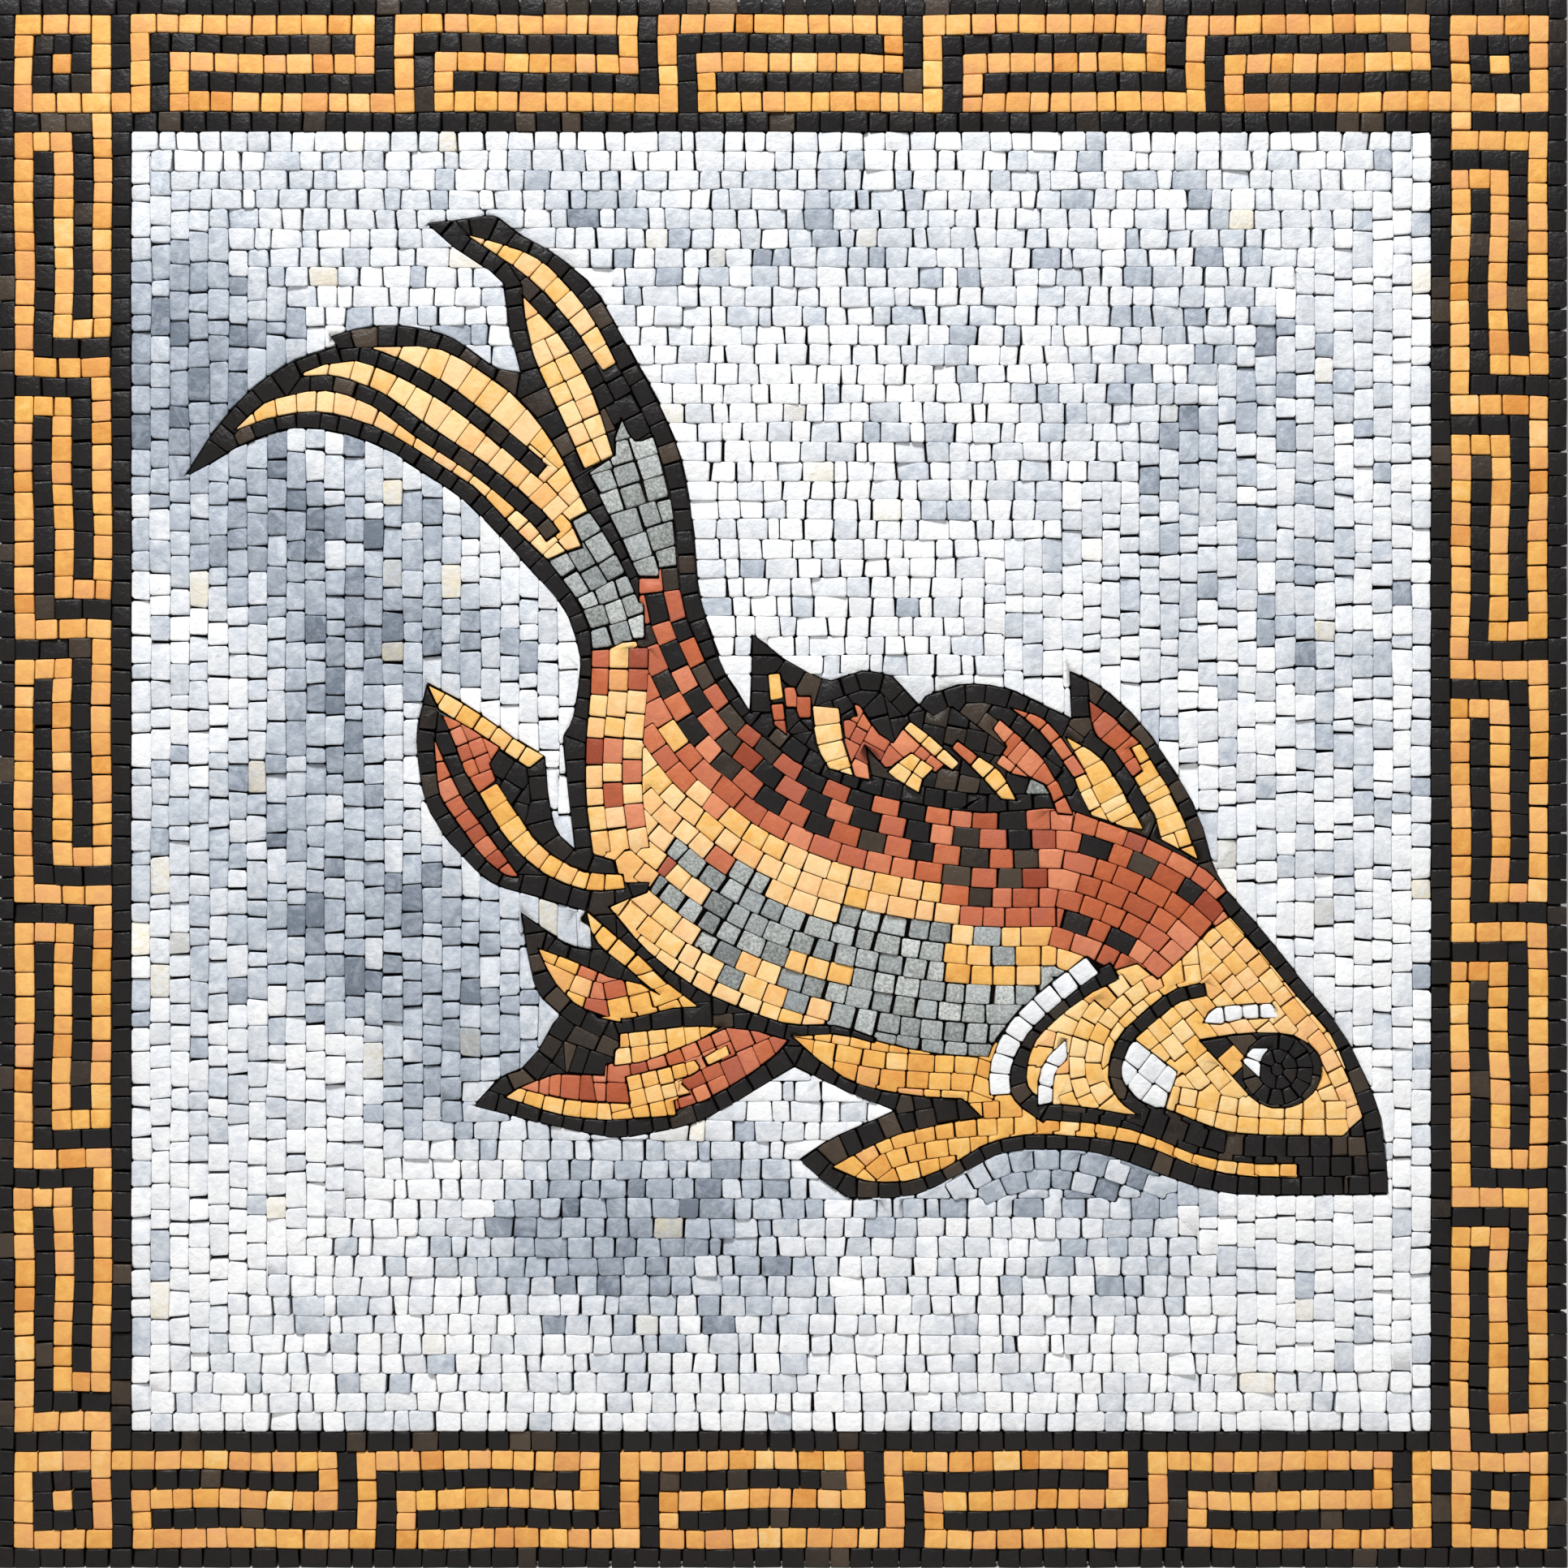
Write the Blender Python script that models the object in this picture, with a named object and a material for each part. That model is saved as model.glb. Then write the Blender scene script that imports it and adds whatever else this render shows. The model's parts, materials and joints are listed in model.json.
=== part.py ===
"""Mosaic panel: a square of hand-cut marble tesserae on a mesh backing, made to be fixed to a wall.

A koi fish in black, red, gold and grey stones swims on a white field inside a Greek key border.
Metres, +Z up. The back of the mesh lies in the plane Y = 0, the stones face -Y, +X is to the right,
and the origin is the middle of the back. Stones of one colour that touch make one solid.
"""

import math

import bpy
import numpy as np
from mathutils.geometry import delaunay_2d_cdt

# Driving sizes.
PANEL_SIDE = 0.610
COURSE = 0.00755
KEY_UNITS = 5
STONE_DEPTH = 0.0082
BACKING_THICKNESS = 0.0015
BACKING_SETBACK = 0.001
FISH_CLEARANCE = 0.0184
JOINT_GAP = 0.0003

# Whole courses counted in from the panel's edge.
KEY_OUTER_COURSE = 1
KEY_INNER_COURSE = 6
FIELD_COURSE = 7

# The fish spans the field, less a clearance at its nose and its tail.
FISH_LENGTH = PANEL_SIDE - 2 * (FIELD_COURSE * COURSE + FISH_CLEARANCE)
FISH_UNIT = FISH_LENGTH / 1000
CHORD_ERROR = 0.535 * FISH_UNIT
SMALLEST_AREA = 69 * FISH_UNIT**2

COLLECTION_NAME = "mosaic_panel"
CURVE_STEPS = 8
C = "corner"

# Areas that the lines drawn over them divide, and the names of their pieces, the largest first.
OUTLINE_NAMES = ("fish_black_upper", "fish_black_lower", "fish_black_eye")
PIECE_NAMES = {
    "body_gold": ("body_gold", "head_gold", "jaw_gold", "belly_gold"),
    "lower_fin_gold": ("lower_fin_gold", "lower_fin_gold_tip"),
}

# Each kind of stone: sRGB colour, roughness.
STONES = {
    "black": ((0.165, 0.150, 0.148), 0.55),
    "gold": ((0.980, 0.760, 0.470), 0.60),
    "red": ((0.810, 0.420, 0.300), 0.60),
    "grey": ((0.590, 0.610, 0.605), 0.65),
    "white": ((0.920, 0.940, 0.960), 0.50),
    "backing": ((0.720, 0.700, 0.640), 0.80),
}


def clear_scene():
    for obj in list(bpy.data.objects):
        bpy.data.objects.remove(obj, do_unlink=True)


def linear(channel):
    """One sRGB channel as the linear value that a shader takes."""
    return channel / 12.92 if channel <= 0.04045 else ((channel + 0.055) / 1.055) ** 2.4


def make_materials():
    materials = {}
    for kind, (colour, roughness) in STONES.items():
        material = bpy.data.materials.new(kind + "_stone" if kind != "backing" else "mesh_backing")
        material.use_nodes = True
        shader = material.node_tree.nodes["Principled BSDF"]
        shader.inputs["Base Color"].default_value = (*[linear(c) for c in colour], 1.0)
        shader.inputs["Roughness"].default_value = roughness
        shader.inputs["Metallic"].default_value = 0.0
        materials[kind] = material
    return materials


# Outlines. Every area is a closed outline in metres on the panel's face, seen from the front.

def smooth_stretch(points):
    """A Catmull-Rom line through the points, sampled evenly between each pair."""
    if len(points) == 2:
        return points
    before = 2 * points[0] - points[1]
    after = 2 * points[-1] - points[-2]
    guide = np.vstack([before, points, after])
    line = []
    for p0, p1, p2, p3 in zip(guide, guide[1:], guide[2:], guide[3:]):
        for t in np.arange(CURVE_STEPS) / CURVE_STEPS:
            line.append(0.5 * (2 * p1 + (p2 - p0) * t + (2 * p0 - 5 * p1 + 4 * p2 - p3) * t**2
                               + (3 * p1 - p0 - 3 * p2 + p3) * t**3))
    return np.vstack([line, points[-1]])


def straightened(line, error):
    """The fewest points of a line that keep its straight sides within the error of it."""
    if len(line) < 3:
        return line
    chord = line[-1] - line[0]
    offset = line[1:-1] - line[0]
    length = math.hypot(*chord)
    if length > error:
        distance = np.abs(chord[0] * offset[:, 1] - chord[1] * offset[:, 0]) / length
    else:
        distance = np.hypot(*offset.T)
    worst = int(distance.argmax())
    if distance[worst] <= error:
        return line[[0, -1]]
    middle = worst + 1
    first = straightened(line[: middle + 1], error)
    return np.vstack([first[:-1], straightened(line[middle:], error)])


def outline(points):
    """A closed outline that starts at a corner, smooth between the points marked as corners."""
    stretches = [[points[0][:2]]]
    for point in points[1:] + points[:1]:
        stretches[-1].append(point[:2])
        if len(point) == 3:
            stretches.append([point[:2]])
    sides = []
    for stretch in stretches:
        if len(stretch) > 1:
            line = smooth_stretch(np.array(stretch, float) * FISH_UNIT)
            sides.append(straightened(line, CHORD_ERROR)[:-1])
    return np.vstack(sides)


def strip(points, start_width, end_width):
    """The outline of a strip along a smooth line, whose width changes evenly from end to end."""
    line = straightened(smooth_stretch(np.array(points, float) * FISH_UNIT), CHORD_ERROR)
    along = np.gradient(line, axis=0)
    along /= np.hypot(*along.T)[:, None]
    across = np.column_stack([-along[:, 1], along[:, 0]])
    half = np.linspace(start_width, end_width, len(line))[:, None] * FISH_UNIT / 2
    return np.vstack([line + across * half, (line - across * half)[::-1]])


def rectangle(low, high):
    return np.array([low, (high[0], low[1]), high, (low[0], high[1])], float)


# The fish, drawn in thousandths of its own length, right and up from the middle of the panel.
# The line inside its black outline, along the back and down the head.
48
BACK_INSIDE = [
    (-86, 179, C), (-83, 153), (-76, 129), (-56, 86), (-32, 52), (-12, 36), (8, 19), (35, 4),
    (66, -8), (99, -16), (133, -22), (173, -26), (219, -22, C), (241, -24), (278, -37), (315, -52),
    (352, -73), (370, -91, C),
]
PELVIC_TOP = [
    (-294, 81, C), (-274, 71), (-244, 52), (-218, 33), (-196, 21, C),
]
HEAD_INSIDE = [
    (372, -112, C), (391, -133), (430, -180), (456, -210), (471, -244), (483, -279, C),
]


def fish_areas():
    """The fish's areas, each drawn over the ones before it, so a hidden stretch may be rough."""
    areas = []

    def node_names(name, kind):
        """Black stones all belong to the drawing's one outline, other colours to their own area."""
        return OUTLINE_NAMES if kind == "black" else PIECE_NAMES.get(name, (name,))

    def area(name, kind, points):
        areas.append((node_names(name, kind), kind, [outline(points)]))

    def line(name, kind, start_width, end_width, points):
        areas.append((node_names(name, kind), kind, [strip(points, start_width, end_width)]))

    area("fish_outline", "black", [
        (-294, 463, C), (-267, 466), (-238, 469), (-216, 453), (-194, 442), (-158, 412), (-136, 376),
        (-118, 345), (-99, 308), (-84, 271), (-77, 238), (-72, 197), (-69, 160), (-61, 130), (-47, 90),
        (-25, 57, C), (-25, 90), (-24, 122, C), (-4, 106), (12, 96), (40, 84), (67, 92), (91, 88, C),
        (101, 77), (114, 63, C), (120, 71, C), (152, 81), (187, 77), (220, 62), (241, 52, C),
        (239, 92, C), (269, 76), (298, 49), (321, 17), (338, -11), (350, -38), (358, -69),
        (370, -91, C), (402, -127), (442, -178), (466, -208), (486, -247), (499, -286), (504, -342, C),
        (429, -343), (368, -341), (321, -328), (271, -310), (230, -305), (184, -308), (146, -327),
        (106, -344), (56, -345, C), (32, -329), (16, -314, C), (42, -296), (69, -284), (95, -273, C),
        (59, -259), (32, -246), (11, -236, C), (-19, -254), (-66, -281), (-109, -292), (-140, -295),
        (-183, -287), (-255, -269, C), (-233, -246), (-217, -240, C), (-200, -221), (-189, -201),
        (-183, -193, C), (-202, -174), (-210, -146), (-216, -109, C), (-195, -124), (-177, -136),
        (-157, -140, C), (-158, -124, C), (-162, -107, C), (-207, -94), (-241, -83), (-271, -55),
        (-291, -26), (-300, 5), (-302, 42), *PELVIC_TOP, (-194, -8), (-187, -40), (-171, -57, C),
        (-175, -22), (-179, 12), (-181, 37, C), (-173, 52), (-168, 79), (-167, 106), (-178, 140),
        (-199, 166), (-230, 201), (-262, 233), (-293, 254), (-331, 278), (-372, 291), (-409, 293),
        (-446, 281), (-471, 266), (-496, 252, C), (-471, 291), (-440, 325), (-404, 349),
        (-368, 361, C), (-374, 369, C), (-342, 378), (-305, 377), (-271, 367), (-240, 345),
        (-216, 339, C), (-224, 369), (-230, 413, C), (-244, 426), (-271, 443),
    ])
    area("tail_grey_left", "grey", [
        (-160, 225, C), (-143, 200), (-128, 172), (-118, 149, C), (-114, 147, C), (-113, 118, C),
        (-124, 117, C), (-131, 116, C), (-142, 110, C), (-157, 109, C), (-159, 127), (-171, 153),
        (-194, 184, C), (-182, 190, C), (-165, 196, C), (-175, 217, C),
    ])
    area("tail_grey_right", "grey", [
        (-160, 256, C), (-138, 270, C), (-138, 285), (-133, 302, C), (-122, 283), (-106, 287, C),
        (-95, 251), (-88, 214), (-86, 179, C), (-101, 177, C), (-101, 169, C), (-118, 169, C),
        (-136, 207),
    ])
    area("tail_gold_outer", "gold", [
        (-262, 454, C), (-227, 445), (-199, 432), (-173, 407), (-153, 379), (-136, 347, C),
        (-148, 340, C), (-169, 373), (-200, 409), (-227, 431),
    ])
    area("tail_gold_inner", "gold", [
        (-215, 404, C), (-183, 369), (-156, 322), (-139, 271, C), (-163, 259, C), (-183, 304),
        (-204, 349), (-212, 379),
    ])
    area("tail_gold_lower", "gold", [
        (-397, 339, C), (-379, 346), (-355, 349, C), (-337, 361, C), (-296, 361), (-267, 352),
        (-223, 322), (-189, 281), (-160, 225, C), (-175, 217, C), (-165, 196, C), (-182, 190, C),
        (-194, 184, C), (-219, 207), (-252, 242), (-288, 266), (-325, 289), (-356, 301), (-390, 307),
        (-426, 301), (-454, 291, C), (-429, 314), (-402, 322, C),
    ])
    area("body_gold", "gold", [
        *BACK_INSIDE, (362, -98, C), *HEAD_INSIDE, (466, -294, C), (429, -294, C), (429, -329, C),
        (379, -327), (340, -318), (300, -302), (254, -295), (207, -293), (170, -301), (136, -321),
        (103, -332), (69, -331), (42, -320, C), (59, -310), (93, -294), (133, -284), (167, -279, C),
        (150, -263, C), (113, -261), (66, -252), (32, -232), (2, -205, C), (-42, -193), (-82, -166),
        (-116, -136), (-143, -104, C), (-111, -91, C), (-109, -84, C), (-134, -84, C), (-138, -66, C),
        (-156, -61, C), (-162, -15), (-162, 32), (-158, 76), (-157, 109, C), (-142, 110, C),
        (-131, 116, C), (-124, 117, C), (-113, 118, C), (-114, 147, C), (-118, 149, C), (-118, 169, C),
        (-101, 169, C), (-101, 177, C),
    ])
    area("back_red", "red", [
        *BACK_INSIDE, (362, -98, C), (372, -112, C), (352, -126), (340, -140), (324, -154),
        (313, -164, C), (296, -151, C), (275, -157, C), (241, -139), (200, -126), (156, -120, C),
        (153, -108, C), (133, -105, C), (130, -90, C), (93, -77), (52, -65), (-12, -46, C), (-22, -37),
        (-64, -28, C), (-64, -15), (-76, 2), (-93, 1, C), (-109, 22), (-109, 49, C), (-121, 73),
        (-124, 117, C), (-113, 118, C), (-114, 147, C), (-118, 149, C), (-118, 169, C), (-101, 169, C),
        (-101, 177, C),
    ])
    area("belly_grey", "grey", [
        (-109, -84, C), (-96, -79, C), (-79, -99), (-65, -107, C), (-60, -87, C), (-88, -55, C),
        (-69, -52, C), (-50, -67), (-29, -77), (-12, -84, C), (-15, -100, C), (19, -111),
        (49, -121, C), (52, -108, C), (96, -119), (126, -124), (177, -127, C), (193, -149, C),
        (230, -164, C), (207, -181), (189, -201), (177, -217), (172, -229, C), (140, -227),
        (106, -222), (76, -214), (45, -201, C), (45, -184, C), (5, -183, C), (4, -164, C),
        (-29, -154, C), (-39, -165, C), (-56, -158), (-69, -136), (-86, -118), (-101, -98),
    ])
    area("flank_gold_1", "gold", [
        (4, -150, C), (35, -148), (66, -147, C), (64, -164, C), (5, -166, C),
    ])
    area("flank_gold_2", "gold", [
        (128, -139, C), (175, -135, C), (175, -147, C), (202, -147, C), (202, -131, C), (227, -135),
        (253, -145, C), (234, -162, C), (187, -164), (146, -168, C), (145, -154, C), (128, -154, C),
    ])
    line("rib_upper", "black", 13, 13, [
        (-353, 356), (-320, 345), (-272, 318), (-223, 279), (-198, 258),
    ])
    line("rib_lower", "black", 13, 13, [
        (-422, 325), (-378, 331), (-337, 318), (-296, 289), (-247, 257), (-204, 221), (-189, 203),
    ])
    line("belly_line", "black", 17, 4, [
        (-162, -108), (-116, -147), (-76, -176), (-35, -194), (5, -206), (45, -206), (78, -215),
    ])
    line("gill_line_back", "black", 15, 15, [
        (277, -157), (256, -167), (239, -179), (220, -194), (204, -213), (196, -239), (200, -260),
        (222, -277),
    ])
    line("gill_white", "white", 17, 17, [
        (259, -152), (237, -168), (215, -186), (197, -205), (185, -227), (181, -244), (182, -260),
    ])
    area("gill_crescent", "white", [
        (236, -214, C), (237, -230), (227, -243), (225, -273, C), (213, -271, C), (213, -257),
        (214, -244), (220, -230),
    ])
    area("cheek_white", "white", [
        (292, -213, C), (311, -227), (329, -241, C), (323, -257), (317, -279, C), (294, -267),
        (281, -250), (278, -230),
    ])
    line("gill_line_front", "black", 11, 11, [
        (352, -172), (328, -178), (305, -195), (286, -213), (278, -232), (279, -252), (294, -269),
        (321, -282),
    ])
    area("mouth", "black", [
        (207, -271, C), (227, -268), (257, -271), (294, -277), (316, -271), (352, -285), (389, -293),
        (466, -294, C), (466, -318, C), (429, -317), (379, -316), (340, -308), (296, -290),
        (254, -283), (214, -280),
    ])
    area("brow_white", "white", [
        (350, -200, C), (355, -192), (368, -186), (407, -184, C), (414, -196, C), (382, -197),
        (365, -201),
    ])
    area("eye", "black", [
        (347, -215, C), (382, -209), (417, -209), (432, -214), (445, -225), (449, -239), (444, -255),
        (429, -268), (412, -271), (397, -267), (382, -254), (365, -234),
    ])
    area("eye_white", "white", [
        (382, -232, C), (391, -221, C), (405, -221, C), (398, -231), (397, -246, C),
    ])
    area("dorsal_gold_1", "gold", [
        (-11, 89, C), (-1, 90, C), (2, 69, C), (-9, 67, C),
    ])
    area("dorsal_red_1", "red", [
        (-9, 64, C), (2, 65, C), (5, 38, C), (-6, 47, C),
    ])
    area("dorsal_red_2", "red", [
        (2, 79, C), (11, 79, C), (14, 71, C), (25, 71, C), (25, 52, C), (15, 52, C), (12, 61, C),
        (4, 61, C),
    ])
    area("dorsal_gold_2", "gold", [
        (25, 63, C), (48, 61, C), (52, 32), (61, 4, C), (39, 11, C), (29, 31),
    ])
    area("dorsal_red_3", "red", [
        (51, 51, C), (63, 53, C), (60, 65, C), (67, 61), (80, 41), (93, 32, C), (101, 44, C),
        (118, 39), (140, 17, C), (128, 7, C), (110, 20, C), (101, 13), (87, 11, C), (70, 30, C),
        (75, 1, C), (61, 4, C), (53, 32),
    ])
    area("dorsal_gold_3", "gold", [
        (101, 44, C), (107, 50, C), (126, 36), (148, 15, C), (142, 9, C), (126, 21),
    ])
    area("dorsal_gold_4", "gold", [
        (88, 8, C), (95, 15, C), (108, 24, C), (127, 11, C), (118, 2, C), (115, -10, C), (95, 2, C),
    ])
    area("dorsal_red_4", "red", [
        (141, 28, C), (146, 34, C), (164, 21, C), (157, 13, C),
    ])
    area("dorsal_gold_5", "gold", [
        (157, 13, C), (164, 21, C), (179, 11), (188, -1), (196, -16, C), (183, -15, C), (172, -2),
    ])
    area("dorsal_red_5", "red", [
        (175, 44, C), (181, 52, C), (202, 34), (217, 19), (226, 4, C), (230, -1), (243, -28, C),
        (229, -27, C), (218, -2), (190, 7, C), (178, 15, C), (187, 29, C),
    ])
    area("dorsal_red_6", "red", [
        (189, 62, C), (214, 54), (230, 40), (245, 19), (257, 1, C), (243, 3, C), (230, 22), (214, 42),
    ])
    area("dorsal_gold_6", "gold", [
        (235, 38, C), (257, 26), (272, 12), (286, -11), (301, -40, C), (284, -38), (257, -28, C),
        (247, -8), (243, 3, C), (253, 7, C), (244, 22),
    ])
    area("lobe_red", "red", [
        (255, 68, C), (276, 53, C), (298, 32, C), (305, 9, C), (292, 3, C), (276, 26, C), (262, 37),
        (257, 50, C),
    ])
    area("lobe_gold", "gold", [
        (290, 28, C), (298, 32, C), (311, 12), (327, -15), (339, -44), (346, -65, C), (328, -55),
        (315, -48, C), (309, -27), (292, 3, C), (300, 9, C),
    ])
    area("pelvic_gold_top", "gold", [
        *PELVIC_TOP, (-209, 11, C), (-225, 22), (-251, 39), (-284, 60, C),
    ])
    area("pelvic_red_inner", "red", [
        (-282, 57, C), (-259, 45), (-233, 28, C), (-242, 15, C), (-236, 1, C), (-251, -10, C),
        (-263, 9), (-271, 32),
    ])
    area("pelvic_gold_inner", "gold", [
        (-251, -10, C), (-236, -1, C), (-220, -25), (-204, -48), (-183, -65), (-160, -75),
        (-131, -77, C), (-129, -89, C), (-156, -91), (-180, -85), (-207, -69), (-230, -45),
    ])
    area("pelvic_red_outer", "red", [
        (-288, 36, C), (-279, 15), (-264, -15), (-251, -32), (-234, -55), (-217, -79, C), (-230, -77),
        (-251, -59), (-271, -30), (-284, -8),
    ])
    area("lower_fin_gold", "gold", [
        (-202, -138, C), (-177, -147), (-143, -162), (-116, -168, C), (-101, -177), (-68, -187, C),
        (-89, -188), (-109, -193), (-130, -197), (-150, -193), (-169, -186), (-183, -173),
        (-193, -159),
    ])
    area("lower_fin_red", "red", [
        (-169, -152, C), (-143, -162), (-116, -168, C), (-140, -173, C), (-133, -200, C),
        (-152, -196, C), (-162, -176, C), (-158, -166, C),
    ])
    area("lower_fin_strip", "gold", [
        (-162, -107, C), (-146, -121), (-116, -146), (-93, -168), (-68, -187, C), (-101, -177, C),
        (-113, -168), (-130, -153), (-150, -137), (-158, -124, C),
    ])
    area("pectoral_red", "red", [
        (-218, -254, C), (-200, -247), (-183, -242), (-146, -244, C), (-145, -234, C), (-109, -229),
        (-69, -215), (-45, -204, C), (-19, -207), (6, -215, C), (-5, -227), (-32, -247), (-62, -264),
        (-88, -273, C), (-126, -270), (-177, -265),
    ])
    area("pectoral_gold_top", "gold", [
        (-134, -209, C), (-79, -203), (-50, -204, C), (-69, -215), (-109, -231), (-139, -236, C),
        (-138, -223, C), (-134, -220, C),
    ])
    area("pectoral_gold_low", "gold", [
        (-230, -262, C), (-218, -254, C), (-177, -264), (-125, -267, C), (-129, -245, C),
        (-72, -231, C), (-68, -240), (-86, -248, C), (-74, -259, C), (-89, -264, C), (-87, -277, C),
        (-116, -279), (-150, -281), (-190, -275),
    ])
    area("pectoral_gold_fleck", "gold", [
        (-65, -229, C), (-45, -218, C), (-42, -227, C), (-61, -236, C),
    ])
    return areas


# The border, worked out side by side: s runs clockwise along the side, t runs in from the edge.

def side_bar(side, s0, s1, t0, t1):
    """A bar of the border given in courses, turned onto one of the four sides."""
    half = PANEL_SIDE / 2
    low = np.array((s0, t0)) * COURSE
    high = np.array((s1, t1)) * COURSE
    corners = rectangle((low[0] - half, half - high[1]), (high[0] - half, half - low[1]))
    turn = -side * math.pi / 2
    spin = np.array([[math.cos(turn), -math.sin(turn)], [math.sin(turn), math.cos(turn)]])
    return corners @ spin.T


def key_bars(side):
    """The gold bars of one side: the corner ring, then the units of the running key."""
    out, inn = KEY_OUTER_COURSE, KEY_INNER_COURSE
    count = PANEL_SIDE / COURSE
    start = FIELD_COURSE
    pitch = (count - start - inn) / KEY_UNITS
    bars = [
        (out, inn, out, inn),
        (inn, start + 1, inn - 1, inn),
    ]
    for k in range(KEY_UNITS):
        here = start + k * pitch
        after = here + pitch
        bars += [
            (here, here + 1, out, inn),
            (here, after - 1, out, out + 1),
            (after - 2, after - 1, out, out + 3),
            (here + 2, after - 1, out + 2, out + 3),
            (here + 2, here + 3, out + 2, inn),
            (here + 2, after + 1, inn - 1, inn),
        ]
    return [side_bar(side, *bar) for bar in bars]


def border_areas():
    half = PANEL_SIDE / 2
    areas = [(("border_black_outer", "border_black_inner"), "black",
              [rectangle((-half, -half), (half, half))])]
    gold = [bar for side in range(4) for bar in key_bars(side)]
    areas.append((("border_key_gold",), "gold", gold))
    out, inn = KEY_OUTER_COURSE, KEY_INNER_COURSE
    for side, corner in enumerate(("top_left", "top_right", "bottom_right", "bottom_left")):
        square = side_bar(side, out + 1, inn - 1, out + 1, inn - 1)
        dot = side_bar(side, out + 2, inn - 2, out + 2, inn - 2)
        areas.append((("corner_black_" + corner,), "black", [square]))
        areas.append((("corner_gold_" + corner,), "gold", [dot]))
    inside = half - FIELD_COURSE * COURSE
    areas.append((("field_white",), "white", [rectangle((-inside, -inside), (inside, inside))]))
    return areas


# The map: all outlines are laid over one another, and each piece of the face goes to the top one.

def inside_outline(points, loop):
    """Which points lie inside a closed outline, counted by crossings."""
    x, y = points.T
    inside = np.zeros(len(points), bool)
    for (x0, y0), (x1, y1) in zip(loop, np.roll(loop, -1, axis=0)):
        if y0 != y1:
            crosses = (y0 > y) != (y1 > y)
            inside ^= crosses & (x < (x1 - x0) * (y - y0) / (y1 - y0) + x0)
    return inside


def face_map(areas):
    """Triangles of the whole face, and for each one the number of the top area over its middle."""
    points, edges = [], []
    for _, _, loops in areas:
        for loop in loops:
            first = len(points)
            points += [tuple(point) for point in loop]
            edges += [(first + i, first + (i + 1) % len(loop)) for i in range(len(loop))]
    found = delaunay_2d_cdt(points, edges, [], 0, CHORD_ERROR / 4)
    points = np.array([tuple(point) for point in found[0]])
    triangles = np.array(found[2])
    middles = points[triangles].mean(axis=1)
    owner = np.full(len(triangles), -1)
    first_of = {}
    for number, (names, _, loops) in enumerate(areas):
        number = first_of.setdefault(names, number)
        for loop in loops:
            owner[inside_outline(middles, loop)] = number
    return points, triangles, owner


def areas_that_touch(points, triangles, owner):
    """Groups of triangles of one owner that share edges, the largest first."""
    parent = list(range(len(triangles)))

    def root(i):
        while parent[i] != i:
            parent[i] = parent[parent[i]]
            i = parent[i]
        return i

    seen = {}
    for number, corners in enumerate(triangles):
        for a, b in zip(corners, np.roll(corners, -1)):
            other = seen.setdefault((min(a, b), max(a, b)), number)
            if other != number and owner[other] == owner[number]:
                parent[root(number)] = root(other)
    groups = {}
    for number in range(len(triangles)):
        if owner[number] >= 0:
            groups.setdefault(root(number), []).append(number)
    p = points[triangles]
    u, v = p[:, 1] - p[:, 0], p[:, 2] - p[:, 0]
    size = 0.5 * np.abs(u[:, 0] * v[:, 1] - u[:, 1] * v[:, 0])
    found = [(size[group].sum(), owner[group[0]], group) for group in groups.values()]
    return sorted(found, key=lambda item: (item[1], -item[0]))


def border_loops(points, triangles):
    """The closed border lines of a group of triangles, with the group on their left."""
    after = {}
    sides = set()
    for corners in triangles:
        p = points[corners]
        turn = np.cross(p[1] - p[0], p[2] - p[0])
        ring = corners if turn > 0 else corners[::-1]
        sides |= {(int(a), int(b)) for a, b in zip(ring, np.roll(ring, -1))}
    for a, b in sides:
        if (b, a) not in sides:
            after.setdefault(a, []).append(b)
    loops = []
    while after:
        start = min(after)
        loop, here, back = [], start, None
        while here in after:
            choices = after[here]
            if back is None or len(choices) == 1:
                ahead = choices[0]
            else:
                come = math.atan2(*(points[back] - points[here])[::-1])
                ahead = min(choices, key=lambda n: (
                    come - math.atan2(*(points[n] - points[here])[::-1])) % (2 * math.pi))
            choices.remove(ahead)
            if not choices:
                del after[here]
            loop.append(here)
            back, here = here, ahead
            if here == start:
                break
        loops.append(points[loop])
    return loops


def without_idle_points(loop):
    """The loop less the points that lie on a straight side."""
    before, after = np.roll(loop, 1, axis=0), np.roll(loop, -1, axis=0)
    chord = after - before
    length = np.hypot(*chord.T)
    height = np.abs(np.cross(chord, loop - before)) / np.maximum(length, 1e-9)
    return loop[(height > CHORD_ERROR / 10) | (length < 1e-9)]


def inset(loop, distance):
    """The loop moved to its left, so that neighbours leave a joint between them."""
    before, after = np.roll(loop, 1, axis=0), np.roll(loop, -1, axis=0)
    u = (loop - before) / np.hypot(*(loop - before).T)[:, None]
    v = (after - loop) / np.hypot(*(after - loop).T)[:, None]
    left = np.column_stack([-(u + v)[:, 1], (u + v)[:, 0]])
    left /= np.maximum(np.hypot(*left.T), 1e-6)[:, None]
    lean = np.abs(left[:, 0] * -u[:, 1] + left[:, 1] * u[:, 0])
    return loop + left * distance / np.maximum(lean, 0.3)[:, None]


# Solids.

def slab(name, loops, front, depth, material, collection):
    """A flat outline with its holes, stood upright and made thick."""
    curve = bpy.data.curves.new(name, "CURVE")
    curve.dimensions = "2D"
    curve.fill_mode = "BOTH"
    curve.extrude = depth / 2
    for loop in loops:
        spline = curve.splines.new("POLY")
        spline.points.add(len(loop) - 1)
        spline.points.foreach_set("co", np.column_stack([loop, np.zeros(len(loop)),
                                                         np.ones(len(loop))]).ravel())
        spline.use_cyclic_u = True
    curve.materials.append(material)
    obj = bpy.data.objects.new(name, curve)
    obj.location = (0, front + depth / 2, 0)
    obj.rotation_euler = (math.pi / 2, 0, 0)
    collection.objects.link(obj)
    return obj


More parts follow.
